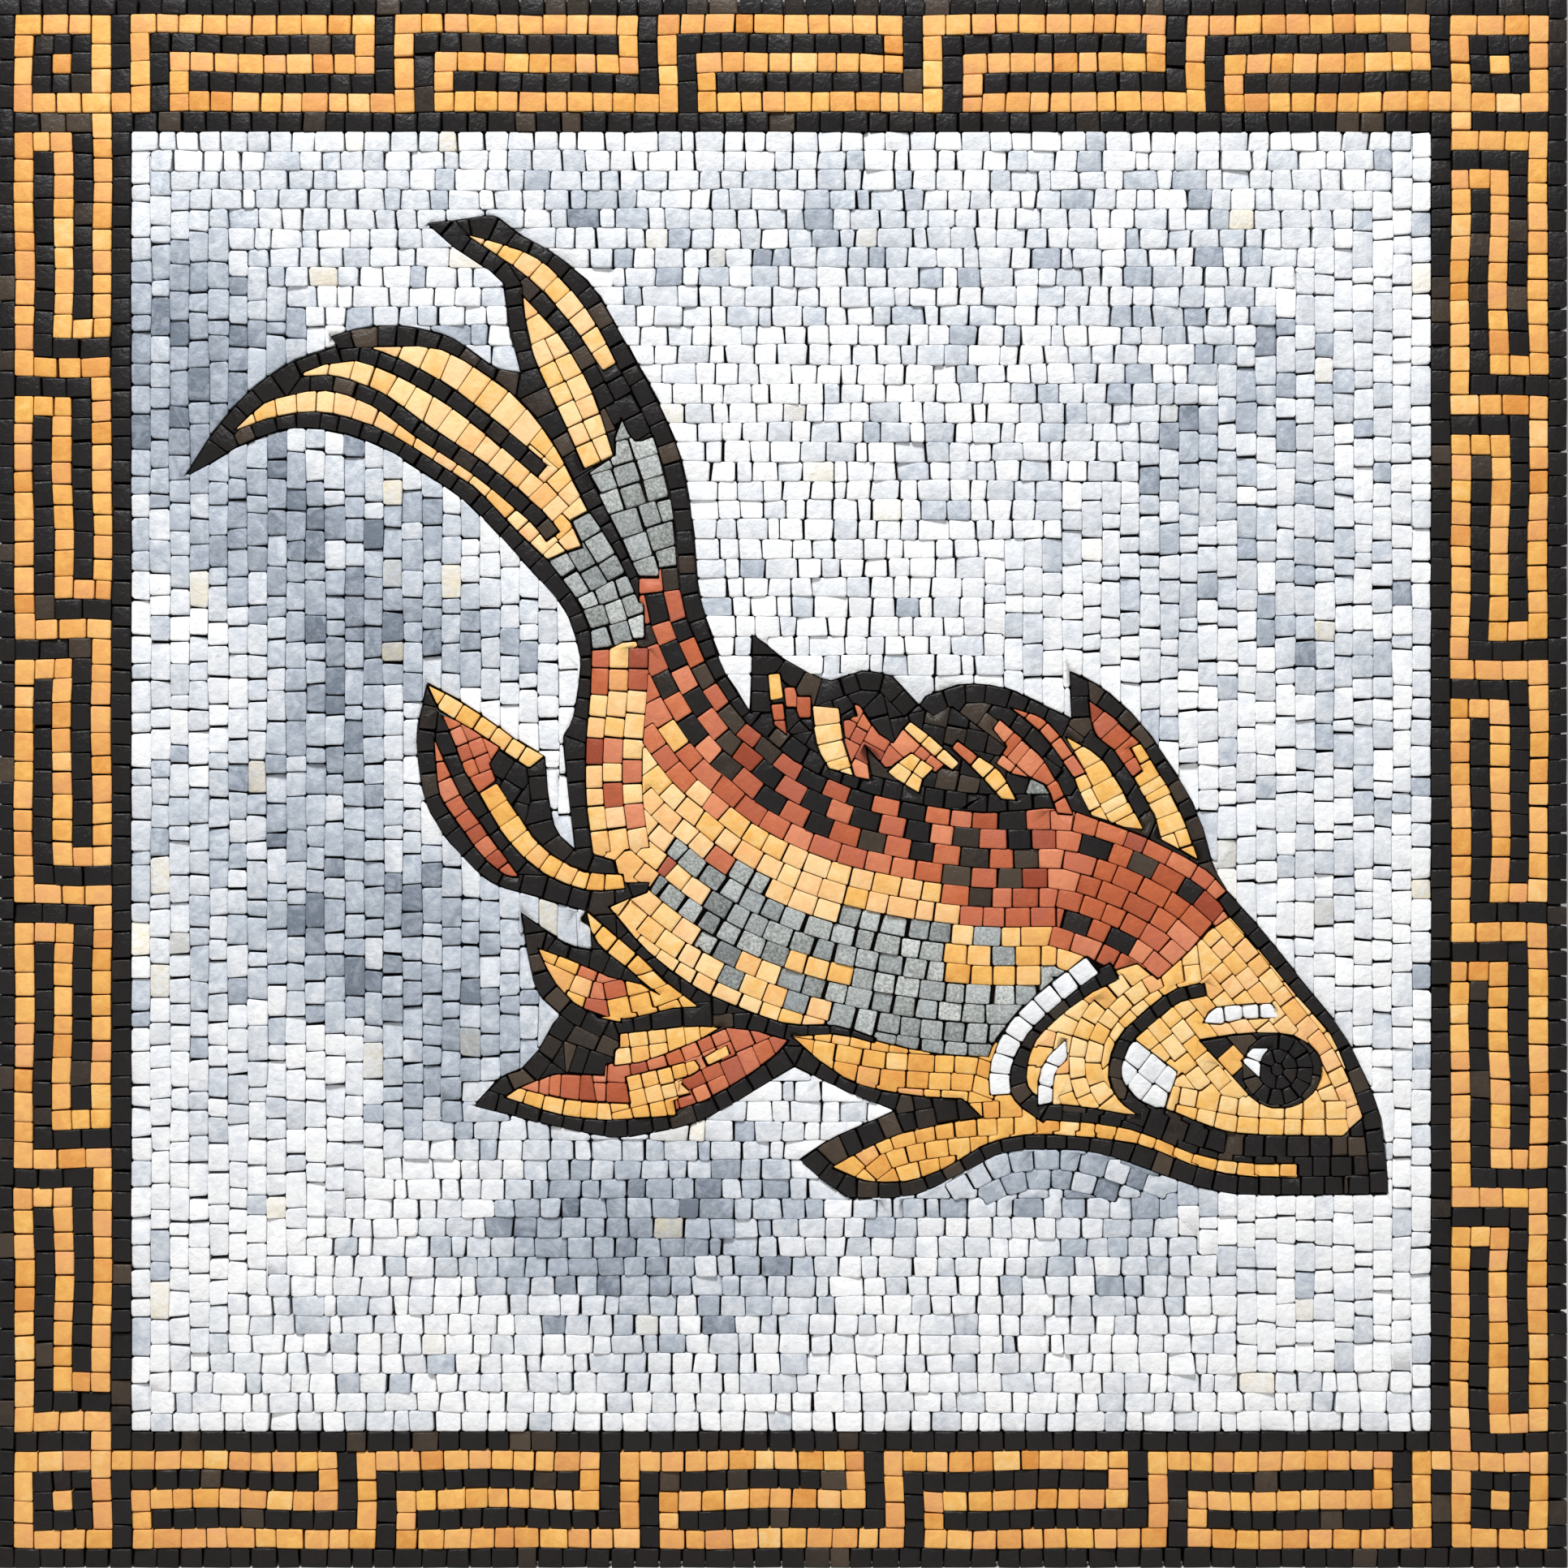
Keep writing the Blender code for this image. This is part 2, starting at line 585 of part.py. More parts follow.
def main():
    clear_scene()
    materials = make_materials()
    collection = bpy.data.collections.new(COLLECTION_NAME)
    bpy.context.scene.collection.children.link(collection)

    side = PANEL_SIDE / 2 - BACKING_SETBACK
    slab("mesh_backing", [rectangle((-side, -side), (side, side))], -BACKING_THICKNESS,
         BACKING_THICKNESS, materials["backing"], collection)

    areas = border_areas() + fish_areas()
    points, triangles, owner = face_map(areas)
    front = -(BACKING_THICKNESS + JOINT_GAP + STONE_DEPTH)
    made = {}
    for size, number, group in areas_that_touch(points, triangles, owner):
        if size < SMALLEST_AREA:
            continue
        names, kind, _ = areas[number]
        turn = made[number] = made.get(number, -1) + 1
        name = names[turn] if turn < len(names) else f"{names[-1]}_{turn + 1}"
        loops = [inset(without_idle_points(loop), JOINT_GAP / 2)
                 for loop in border_loops(points, triangles[group])]
        slab(name, loops, front, STONE_DEPTH, materials[kind], collection)


main()
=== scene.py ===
# %% [markdown]
# # A mosaic panel of hand-cut marble
#
# The panel is a square of small marble stones, called tesserae, stuck side by side to a sheet of
# mesh. There is no grout, so the dark joints are real gaps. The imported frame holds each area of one
# colour as one solid. Here every area is cut into its single stones, and each stone gets its own
# height, slope, tone and worn edges.

# %% Load the frame
import json
import math

import bmesh
import bpy
import numpy as np
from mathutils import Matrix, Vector
from mathutils.geometry import box_fit_2d, delaunay_2d_cdt


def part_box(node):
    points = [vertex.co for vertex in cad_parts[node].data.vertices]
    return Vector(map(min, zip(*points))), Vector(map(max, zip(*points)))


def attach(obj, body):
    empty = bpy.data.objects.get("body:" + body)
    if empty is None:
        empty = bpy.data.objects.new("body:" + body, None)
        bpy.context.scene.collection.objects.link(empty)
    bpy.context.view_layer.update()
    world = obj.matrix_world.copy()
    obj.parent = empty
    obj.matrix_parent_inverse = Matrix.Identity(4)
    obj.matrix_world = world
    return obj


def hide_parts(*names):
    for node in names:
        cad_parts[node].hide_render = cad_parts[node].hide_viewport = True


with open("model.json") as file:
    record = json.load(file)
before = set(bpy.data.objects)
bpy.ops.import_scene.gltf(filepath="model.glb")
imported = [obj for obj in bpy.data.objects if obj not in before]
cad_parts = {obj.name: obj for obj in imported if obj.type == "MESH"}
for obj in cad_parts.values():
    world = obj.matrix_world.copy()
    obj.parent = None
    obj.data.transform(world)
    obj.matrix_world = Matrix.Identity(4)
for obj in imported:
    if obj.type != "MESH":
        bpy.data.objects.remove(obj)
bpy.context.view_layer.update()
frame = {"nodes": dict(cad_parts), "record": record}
print("frame of", len(frame["nodes"]), "areas")

# %% [markdown]
# ## The panel's own units
#
# A mosaic is planned in courses: rows of stones of one width. Seven courses lie between the panel's
# edge and the white field, so one course follows from the frame's boxes. The fish was drawn in
# thousandths of its own length, and its two ends give that unit. Places measured on the photograph
# are given in its pixels, and turned into metres from the middle of the panel.

# %% Work out the course and the fish's unit
SOLID_JOINT = 0.0003
BORDER_COURSES = 7
PIXEL = 0.0003146
PANEL_MIDDLE_PX = (962.5, 963.0)

PANEL_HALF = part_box("border_black_outer")[1].x + SOLID_JOINT / 2
FIELD_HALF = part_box("field_white")[1].x + SOLID_JOINT / 2
COURSE = (PANEL_HALF - FIELD_HALF) / BORDER_COURSES
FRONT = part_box("field_white")[0].y
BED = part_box("field_white")[1].y
FISH_NODES = [name for name in frame["nodes"]
              if not name.startswith(("border", "corner", "field", "mesh"))]
FISH_LEFT = min(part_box(name)[0].x for name in FISH_NODES)
FISH_RIGHT = max(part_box(name)[1].x for name in FISH_NODES)
UNIT = (FISH_RIGHT - FISH_LEFT + SOLID_JOINT) / 1000
SLOT_OF = {part["node"]: part["material_slot"] for part in frame["record"]["subparts"]}
chance = np.random.default_rng(610)


def from_px(points):
    """Places on the photograph as metres on the panel's face."""
    return (np.array(points, float) - PANEL_MIDDLE_PX) * (PIXEL, -PIXEL)


def to_px(spot):
    """A place on the panel's face as one on the photograph."""
    return spot / (PIXEL, -PIXEL) + PANEL_MIDDLE_PX


print(f"course {COURSE * 1000:.2f} mm, stones {(BED - FRONT) * 1000:.1f} mm deep")
print(f"fish {UNIT * 1e6:.1f} mm long")

# %% [markdown]
# ## Reading an area's outline
#
# The frame's solids are loose triangles. The outline of an area is made of the edges of its front
# face that only one triangle uses. They are chained into closed loops that keep the area on their
# left, so a hole runs the other way round than the outside. The outlines could be drawn a second time
# from the photograph, but read from the frame they can't differ from it.

# %% Outlines of the areas
# A corner within this of the front plane lies on the front face.
FLAT = 1e-5


def chained(sides, points):
    """Directed sides joined end to end into closed loops."""
    after = {}
    for a, b in sides:
        after.setdefault(a, []).append(b)
    loops = []
    while after:
        start = here = min(after)
        loop = []
        while here in after:
            loop.append(here)
            ahead = after[here].pop()
            if not after[here]:
                del after[here]
            here = ahead
            if here == start:
                break
        if len(loop) > 2:
            loops.append(points[loop])
    return loops


def open_sides(triangles):
    """The sides that only one of the triangles has."""
    sides = {(int(a), int(b)) for t in triangles for a, b in ((t[0], t[1]), (t[1], t[2]), (t[2], t[0]))}
    return sorted(side for side in sides if side[::-1] not in sides)


def front_loops(name):
    """The outline of an area's front face, in metres across and up the panel."""
    mesh = frame["nodes"][name].data
    mesh.calc_loop_triangles()
    co = np.array([vertex.co for vertex in mesh.vertices])
    spots, merged = np.unique(np.round(co[:, [0, 2]], 6), axis=0, return_inverse=True)
    merged = merged.reshape(-1)
    triangles = [merged[list(triangle.vertices)] for triangle in mesh.loop_triangles
                 if np.all(co[list(triangle.vertices), 1] < FRONT + FLAT)]
    return chained(open_sides(triangles), spots)


# %% Measure loops
def signed_area(loop):
    """The area inside a loop, below 0 where the loop runs clockwise."""
    x, z = loop.T
    return 0.5 * float(np.sum(x * np.roll(z, -1) - np.roll(x, -1) * z))


def largest(loops):
    """The loop that holds most."""
    return max(loops, key=lambda loop: abs(signed_area(loop)))


def inside(points, loops):
    """Which points lie in the area that the loops bound, counted by crossings."""
    x, z = points.T
    found = np.zeros(len(points), bool)
    for loop in loops:
        for (x0, z0), (x1, z1) in zip(loop, np.roll(loop, -1, axis=0)):
            if z0 != z1:
                crosses = (z0 > z) != (z1 > z)
                found ^= crosses & (x < (x1 - x0) * (z - z0) / (z1 - z0) + x0)
    return found


OUTLINES = {name: front_loops(name) for name in ["field_white", *FISH_NODES]}
print(sum(len(loops) for loops in OUTLINES.values()), "outlines read")

# %% [markdown]
# ## Laying courses along a line
#
# A mosaicist lays stones in rows that follow the drawing, and cuts a joint square to the row every
# stone or so. A row is described here by the four corners of each stone, from a guide line, two
# distances from it and a stone length. Every row's run is shared out evenly, so no sliver is left at
# its end, and each joint is then moved a little, as if by hand. One block repeated on a grid would be
# simpler, but a grid can't follow a curve.

# %% Courses along a guide line
# How far a joint strays, as a share of the stones' mean length.
JOINT_WANDER = 0.13
FIELD_WANDER = 0.27


def smooth(points, spacing):
    """A smooth line through the points, with a point about every spacing."""
    guide = np.vstack([2 * points[0] - points[1], points, 2 * points[-1] - points[-2]])
    line = []
    for p0, p1, p2, p3 in zip(guide, guide[1:], guide[2:], guide[3:]):
        steps = max(2, round(math.dist(p1, p2) / spacing))
        for t in np.arange(steps) / steps:
            line.append(0.5 * (2 * p1 + (p2 - p0) * t + (2 * p0 - 5 * p1 + 4 * p2 - p3) * t**2
                               + (3 * p1 - p0 - 3 * p2 + p3) * t**3))
    return np.vstack([line, points[-1]])


def right_of(line):
    """Unit vectors square to the line, to its right."""
    along = np.gradient(line, axis=0)
    along /= np.maximum(np.hypot(*along.T), 1e-12)[:, None]
    return np.column_stack([along[:, 1], -along[:, 0]])


def travelled(line):
    """How far along the line each of its points is."""
    return np.concatenate([[0], np.cumsum(np.hypot(*np.diff(line, axis=0).T))])


def at(line, distance, positions):
    """Places on a line at some distances along it."""
    return np.column_stack([np.interp(positions, distance, line[:, i]) for i in (0, 1)])


def even_joints(length, stone, wander=JOINT_WANDER):
    """Joints along a run, evenly shared and then moved a little."""
    count = max(1, round(length / stone))
    joints = np.linspace(0, length, count + 1)
    joints[1:-1] += chance.uniform(-wander, wander, count - 1) * length / count
    return joints


def ccw(corners):
    """The corners counterclockwise as seen from the front."""
    return corners if signed_area(corners) > 0 else corners[::-1]


# %% Lay one course
def course_quads(line, near, far, stone, joints=None, depth=None, **facts):
    """The stones of one course to the right of a line, between two distances from it.

    Joints that several courses share are given as shares of the course's length. Depth is a function
    that gives the far distance of each joint, where it isn't the same all along.
    """
    side = right_of(line)
    middle = line + side * (near + far) / 2
    distance = travelled(middle)
    if joints is None:
        joints = even_joints(distance[-1], stone)
    else:
        joints = joints * distance[-1]
    spots, sides = at(line, distance, joints), at(side, distance, joints)
    nears = spots + sides * near
    fars = spots + sides * (far if depth is None else depth(spots, sides)[:, None])
    quads = []
    for column in range(len(joints) - 1):
        corners = ccw(np.array([nears[column], nears[column + 1], fars[column + 1], fars[column]]))
        along = spots[column + 1] - spots[column]
        quads.append({"corners": corners, "along": along / max(math.hypot(*along), 1e-9),
                      "column": column, **facts})
    return quads


# %% [markdown]
# ## Cutting an area into stones
#
# Rows from different guides run into each other. On the real panel the later stones are trimmed to
# fit round the earlier ones. Boolean cuts could do that, but slowly for thousands of stones. So one
# triangulation is made of the area's outline and all the laid stones, and each triangle goes to the
# first stone that holds it. Bits too small to be a stone are given to the neighbour with the longest
# shared side, and what no row covers is split across its longer side until the pieces are stones.

# %% Split what is left over
# Bits under the smallest share of a stone join a neighbour, unless the two together are over MERGED
# stones. Bits under the dropped share are left out. No stone is longer than LONGEST stone lengths.
# Points nearer than SNAP are one, and neighbouring areas lie less than SLIT apart.
SMALLEST_SHARE = 0.32
DROPPED_SHARE = 0.07
MERGED = 1.9
LONGEST = 2.3
SNAP = 2e-5
SLIT = 0.0003
# A cut is placed by hand, so it strays by a share of the piece's length. A piece that is mostly a
# hole inside its outline is no stone.
CUT_WANDER = 0.04
HOLLOW = 1.5


def islands(shape):
    """The separate pieces of a flat mesh, each a mesh of its own."""
    shape.faces.index_update()
    todo = set(range(len(shape.faces)))
    found = []
    for first in shape.faces:
        if first.index not in todo:
            continue
        todo.discard(first.index)
        group, edge = [], [first]
        while edge:
            face = edge.pop()
            group.append(face)
            for other in (other for side in face.edges for other in side.link_faces):
                if other.index in todo:
                    todo.discard(other.index)
                    edge.append(other)
        piece = bmesh.new()
        made = {}
        for face in sorted(group, key=lambda face: face.index):
            for corner in face.verts:
                if corner not in made:
                    made[corner] = piece.verts.new(corner.co)
            piece.faces.new([made[corner] for corner in face.verts])
        found.append(piece)
    return found


def rim(shape):
    """The longest border loop of a flat mesh."""
    shape.verts.index_update()
    points = np.array([v.co[:2] for v in shape.verts])
    sides = [(corner.vert.index, corner.link_loop_next.vert.index)
             for face in shape.faces for corner in face.loops if corner.edge.is_boundary]
    return largest(chained(sides, points))


def split_up(shape, length, width):
    """Cuts a flat mesh across its longer side, again and again, down to stones."""
    points = [v.co.to_2d() for v in shape.verts]
    turn = box_fit_2d(points)
    spin = np.array([[math.cos(turn), -math.sin(turn)], [math.sin(turn), math.cos(turn)]])
    boxed = np.array(points) @ spin.T
    low, high = boxed.min(axis=0), boxed.max(axis=0)
    size = high - low
    long_side = int(size[1] > size[0])
    targets = np.array([width, width])
    targets[long_side] = length
    counts = np.maximum(1, np.round(size / targets).astype(int))
    if counts.max() == 1:
        outline = rim(shape)
        hollow = abs(signed_area(outline)) > HOLLOW * sum(face.calc_area() for face in shape.faces)
        return [] if hollow else [(outline, spin[long_side])]
    axis = int(np.argmax(size / targets))
    share = (counts[axis] // 2) / counts[axis] + chance.uniform(-CUT_WANDER, CUT_WANDER)
    if share < 0.1:
        share = 0.5
    spot = low + size / 2
    spot[axis] = low[axis] + size[axis] * share
    normal = spin[axis]
    spot = spot @ spin
    found = []
    for clear in ("clear_inner", "clear_outer"):
        half = shape.copy()
        bmesh.ops.bisect_plane(half, geom=[*half.verts, *half.edges, *half.faces], dist=1e-6,
                               plane_co=(*spot, 0), plane_no=(*normal, 0), **{clear: True})
        for piece in islands(half):
            found += split_up(piece, length, width)
            piece.free()
        half.free()
    return found


# %% Join areas over the slit between them
def held_by(points, areas):
    """Which points lie in one of the areas or in the slit between two of them."""
    found = np.any([inside(points, loops) for loops in areas], axis=0)
    if len(areas) > 1:
        for arm in np.array([(1, 0), (0, 1), (0.7, 0.7), (0.7, -0.7)]) * SLIT:
            before = np.any([inside(points - arm, loops) for loops in areas], axis=0)
            after = np.any([inside(points + arm, loops) for loops in areas], axis=0)
            found |= before & after
    return found


def outer_sides(areas):
    """The sides of the areas that no other of the areas lies behind, as start and end points."""
    sides = []
    for number, loops in enumerate(areas):
        others = [other for i, other in enumerate(areas) if i != number]
        for loop in loops:
            ends = np.roll(loop, -1, axis=0)
            along = ends - loop
            along /= np.maximum(np.hypot(*along.T), 1e-9)[:, None]
            behind = (loop + ends) / 2 + np.column_stack([along[:, 1], -along[:, 0]]) * SLIT
            held = np.zeros(len(loop), bool)
            for other in others:
                held |= inside(behind, other)
            sides += [(a, b) for a, b, within_other in zip(loop, ends, held) if not within_other]
    return sides


# %% Triangulate an area with its laid stones
def triangulated(areas, quads):
    """Areas in triangles: corners, triangles, sizes, the laid stone that holds each, and those stones."""
    known, edges, faces, used = {}, [], [], []
    for side in outer_sides(areas):
        edges.append(tuple([known.setdefault(tuple(end), len(known)) for end in side]))
    points = list(known)
    low, high = np.array(points).min(axis=0), np.array(points).max(axis=0)
    for quad in quads:
        corners = quad["corners"]
        if (corners.max(axis=0) < low).any() or (corners.min(axis=0) > high).any():
            continue
        faces.append(list(range(len(points), len(points) + len(corners))))
        points += [tuple(corner) for corner in corners]
        used.append(quad)
    found = delaunay_2d_cdt(points, edges, faces, 0, SNAP, True)
    spots = np.array([tuple(spot) for spot in found[0]])
    triangles = np.array(found[2])
    owner = np.array([min(held) if held else -1 for held in found[5]])
    kept = held_by(spots[triangles].mean(axis=1), areas)
    triangles, owner = triangles[kept], owner[kept]
    corners = spots[triangles]
    u, v = corners[:, 1] - corners[:, 0], corners[:, 2] - corners[:, 0]
    sizes = 0.5 * (u[:, 0] * v[:, 1] - u[:, 1] * v[:, 0])
    triangles[sizes < 0] = triangles[sizes < 0][:, ::-1]
    return spots, triangles, np.abs(sizes), owner, used


# %% Gather triangles into stones
def find(parent, i):
    """The first triangle of the group that a triangle is in."""
    while parent[i] != i:
        parent[i] = parent[parent[i]]
        i = parent[i]
    return i


def grouped(spots, triangles, sizes, owner, stone):
    """Triangles gathered into stones: the members of each group and its size, by its first one."""
    parent = list(range(len(triangles)))
    seen, shared = {}, []
    for number, (a, b, c) in enumerate(triangles.tolist()):
        for side in ((a, b), (b, c), (c, a)):
            key = side if side[0] < side[1] else side[::-1]
            other = seen.setdefault(key, number)
            if other == number:
                continue
            if owner[other] == owner[number]:
                parent[find(parent, number)] = find(parent, other)
            else:
                shared.append((other, number, math.dist(spots[key[0]], spots[key[1]])))
    size = {}
    for number in range(len(triangles)):
        root = find(parent, number)
        size[root] = size.get(root, 0) + sizes[number]
    touching = {root: {} for root in size}
    for a, b, side in shared:
        a, b = find(parent, a), find(parent, b)
        touching[a][b] = touching[a].get(b, 0) + side
        touching[b][a] = touching[b].get(a, 0) + side
    for root in sorted(size, key=lambda r: (size[r], r)):
        if size[root] > SMALLEST_SHARE * stone or find(parent, root) != root:
            continue
        near = {}
        for other, side in touching[root].items():
            other = find(parent, other)
            if other != root and owner[other] >= 0 and size[other] + size[root] < MERGED * stone:
                near[other] = near.get(other, 0) + side
        if near:
            best = max(near, key=lambda r: (near[r], r))
            parent[root] = best
            size[best] += size[root]
            for other, side in touching[root].items():
                touching[best][other] = touching[best].get(other, 0) + side
    groups = {}
    for number in range(len(triangles)):
        groups.setdefault(find(parent, number), []).append(number)
    return groups, size


# %% Cut an area
def flat_mesh(spots, triangles):
    """Triangles as a mesh that the cutting tools can work on."""
    shape = bmesh.new()
    corners = {i: shape.verts.new((*spots[i], 0)) for i in np.unique(triangles).tolist()}
    for triangle in triangles.tolist():
        shape.faces.new([corners[i] for i in triangle])
    return shape


def cut_area(areas, quads, length, width):
    """The stones of some areas as (outline, direction, the laid stone that it came from)."""
    spots, triangles, sizes, owner, used = triangulated(areas, quads)
    stone = length * width
    groups, size = grouped(spots, triangles, sizes, owner, stone)
    stones = []
    for root, members in groups.items():
        if size[root] < DROPPED_SHARE * stone:
            continue
        quad = used[owner[root]] if owner[root] >= 0 else {}
        if quad:
            outline = largest(chained(open_sides(triangles[members]), spots))
            if np.ptp(outline, axis=0).max() < LONGEST * length:
                stones.append((outline, quad["along"], quad))
                continue
        shape = flat_mesh(spots, triangles[members])
        for piece in islands(shape):
            for outline, along in split_up(piece, length, width):
                if abs(signed_area(outline)) > DROPPED_SHARE * stone:
                    stones.append((outline, along, quad))
            piece.free()
        shape.free()
    return stones


# %% [markdown]
# ## The white field
#
# The field is laid in straight courses: across the top and the bottom, and up and down at both sides.
# Where the two meet at a corner their ends make a flight of steps. Two courses bend round under the
# chin and come first. The rows follow, inside two zones whose borders were measured on the
# photograph, and the columns fill the rest. A string pulled by hand is never quite true, so each line
# between two courses sways a little.

# %% Zones and lines of the field
ROW_ZONES_PX = (
    [(161, 162), (408, 410), (480, 436), (600, 480), (700, 600), (790, 760), (900, 900), (1100, 960),
     (1245, 870), (1245, 850), (1225, 780), (1225, 680), (1300, 660), (1300, 590), (1385, 590),
     (1500, 460), (1736, 185), (1765, 162)],
    [(162, 1764), (580, 1340), (900, 1330), (1300, 1360), (1430, 1440), (1430, 1480), (1480, 1540),
     (1530, 1600), (1530, 1687), (1740, 1687), (1740, 1740), (1766, 1740), (1766, 1764)],
)
CHIN_EDGE_PX = [(1140, 1473), (1187, 1447), (1240, 1423), (1300, 1417), (1353, 1425), (1407, 1443),
                (1473, 1467)]
CHIN_FOOT_PX = 1472
BENT_ROWS = 2
ROW_STONE = 1.22 * COURSE
COLUMN_STONE = 1.36 * COURSE
# The shortest run that gets a stone of its own, and how far a course's last stones reach under their
# neighbours: at its ends, beside it, and at the field's edge.
SHORTEST_RUN = 0.15 * COURSE
OVERRUN = 0.8 * COURSE
LAP = 0.0003
EDGE_LAP = 0.001
# How far the line between two courses sways, in metres, and how far a joint leans, in courses.
STRAY = 0.00028
JOINT_SKEW = 0.035
GUIDE_STEP = 0.002


# %% Straight courses
def crossings(loops, level, axis):
    """Where a line at a level of an axis enters and leaves the area that the loops bound."""
    ends = []
    for loop in loops:
        for a, b in zip(loop, np.roll(loop, -1, axis=0)):
            if (a[axis] > level) != (b[axis] > level):
                share = (level - a[axis]) / (b[axis] - a[axis])
                ends.append(a[1 - axis] + share * (b[1 - axis] - a[1 - axis]))
    ends.sort()
    return list(zip(ends[::2], ends[1::2]))


def overlap(first, second):
    """The parts that two lists of intervals share."""
    found = [(max(a, c), min(b, d)) for a, b in first for c, d in second]
    return sorted((a, b) for a, b in found if b - a > SHORTEST_RUN)


def strayed(level, place):
    """Where the line between two courses really runs: a hand's width off true, here and there."""
    if abs(level) > FIELD_HALF - COURSE / 2:
        return level + math.copysign(EDGE_LAP, level)
    key = round(level / COURSE * 2)
    return level + STRAY * (math.sin(place * 38 + key * 2.4) + 0.8 * math.sin(place * 91 + key * 1.7)
                            + 0.5 * math.sin(place * 187 + key * 4.1))


def straight_course(run, low, high, axis, **facts):
    """The stones of one straight row (axis 1) or column (axis 0), a little over both ends."""
    joints = run[0] + even_joints(run[1] - run[0], ROW_STONE if axis else COLUMN_STONE, FIELD_WANDER)
    joints[0] -= OVERRUN
    joints[-1] += OVERRUN
    skew = chance.uniform(-JOINT_SKEW, JOINT_SKEW, len(joints)) * COURSE
    along = np.eye(2)[1 - axis]
    quads = []
    for a, b, lean_a, lean_b in zip(joints, joints[1:], skew, skew[1:]):
        corners = np.array([(a - lean_a, strayed(low, a)), (b - lean_b, strayed(low, b)),
                            (b + lean_b, strayed(high, b) + LAP), (a + lean_a, strayed(high, a) + LAP)])
        corners = corners if axis == 1 else corners[:, ::-1]
        quads.append({"corners": ccw(corners), "along": along, **facts})
    return quads


# %% Lay the field
FIELD = OUTLINES["field_white"]
count = round(2 * FIELD_HALF / COURSE)
lines = np.linspace(FIELD_HALF, -FIELD_HALF, count + 1)
chin_edge = smooth(from_px(CHIN_EDGE_PX), GUIDE_STEP)
chin_foot = from_px([(0, CHIN_FOOT_PX)])[0][1]
field_quads = []
for row in range(BENT_ROWS):
    bent = course_quads(chin_edge, row * COURSE, (row + 1) * COURSE, ROW_STONE, piece="field_rows")
    field_quads += [quad for quad in bent if quad["corners"][:, 1].mean() > chin_foot]
row_runs = {}
for zone_px in ROW_ZONES_PX:
    zone = from_px(zone_px)
    for high, low in zip(lines, lines[1:]):
        middle = (high + low) / 2
        for start, end in crossings([zone], middle, 1):
            grid = lines[np.abs(lines[:, None] - (start, end)).argmin(axis=0)]
            row_runs.setdefault(middle, []).append(tuple(sorted(grid)))
            for run in overlap([row_runs[middle][-1]], crossings(FIELD, middle, 1)):
                quads = straight_course(run, low, high, 1, piece="field_rows")
                quads[0]["corners"][:, 0] = np.maximum(quads[0]["corners"][:, 0], min(grid))
                quads[-1]["corners"][:, 0] = np.minimum(quads[-1]["corners"][:, 0], max(grid))
                field_quads += quads
rows_laid = len(field_quads)
for high, low in zip(lines, lines[1:]):
    middle = (high + low) / 2
    free = []
    start = -FIELD_HALF
    for level in sorted(row_runs):
        if any(a <= middle <= b for a, b in row_runs[level]):
            free.append((start, level - COURSE / 2))
            start = level + COURSE / 2
    free.append((start, FIELD_HALF))
    for run in overlap([f for f in free if f[1] - f[0] > COURSE / 2], crossings(FIELD, middle, 0)):
        field_quads += straight_course(run, low, high, 0, piece="field_columns")
print(rows_laid, "stones laid in rows and", len(field_quads) - rows_laid, "in columns")

# %% Cut the field round the fish
field_stones = cut_area([FIELD], field_quads, ROW_STONE, COURSE)
print(len(field_stones), "stones in the field")

# %% [markdown]
# ## The border
#
# The border is ruled in bars one course wide: the gold key, and the black on both sides of it. Each
# bar is written once, along and across one side of the panel in whole courses, and turned onto the
# four sides. A bar that ends against another gives it the corner stone. The bars of the real border
# are not quite straight, so a slow sway moves them by about half a millimetre.

# %% Bars of the border
KEY_UNITS = 5
BORDER_STONE = 1.22 * COURSE
# The gold square ring in each corner: its outer and inner side, in courses from the panel's edge.
RING = (1, 6)
SWAY = 0.00055


def turned(side, corners):
    """Corners given in courses along and in from a side, as metres on the panel."""
    x, z = corners[:, 0] * COURSE - PANEL_HALF, PANEL_HALF - corners[:, 1] * COURSE
    for _ in range(side):
        x, z = z, -x
    return np.column_stack([x, z])


def ring_bars(low, high):
    """The four bars of a square ring, end against side."""
    return [(low, high - 1, low, low + 1), (high - 1, high, low, high - 1),
            (low + 1, high, high - 1, high), (low, low + 1, low + 1, high)]


def side_bars():
    """The bars of one side as (colour, start, end, outer, inner)."""
    out, inn = RING
    total = 2 * PANEL_HALF / COURSE
    start = BORDER_COURSES
    pitch = (total - start - inn) / KEY_UNITS
    bars = [("black", 0, total - 1, 0, 1), ("black", inn, start, out, inn - 1),
            ("gold", inn, start, inn - 1, inn), ("black", inn, total - start, inn, start)]
    bars += [("gold", *bar) for bar in ring_bars(out, inn)]
    bars += [("black", *bar) for bar in ring_bars(out + 1, inn - 1)]
    bars.append(("gold", out + 2, inn - 2, out + 2, inn - 2))
    for unit in range(KEY_UNITS):
        here = start + unit * pitch
        after = here + pitch
        bars += [
            ("gold", here, here + 1, 2, inn), ("gold", here, after - 1, out, 2),
            ("gold", after - 2, after - 1, 2, 4), ("gold", here + 2, after - 2, 3, 4),
            ("gold", here + 2, here + 3, 4, inn), ("gold", here + 3, after, inn - 1, inn),
            ("black", here + 1, here + 2, 3, inn), ("black", here + 1, after - 2, 2, 3),
            ("black", after - 1, after, out, inn - 1), ("black", here + 3, after - 1, 4, inn - 1),
        ]
    return bars


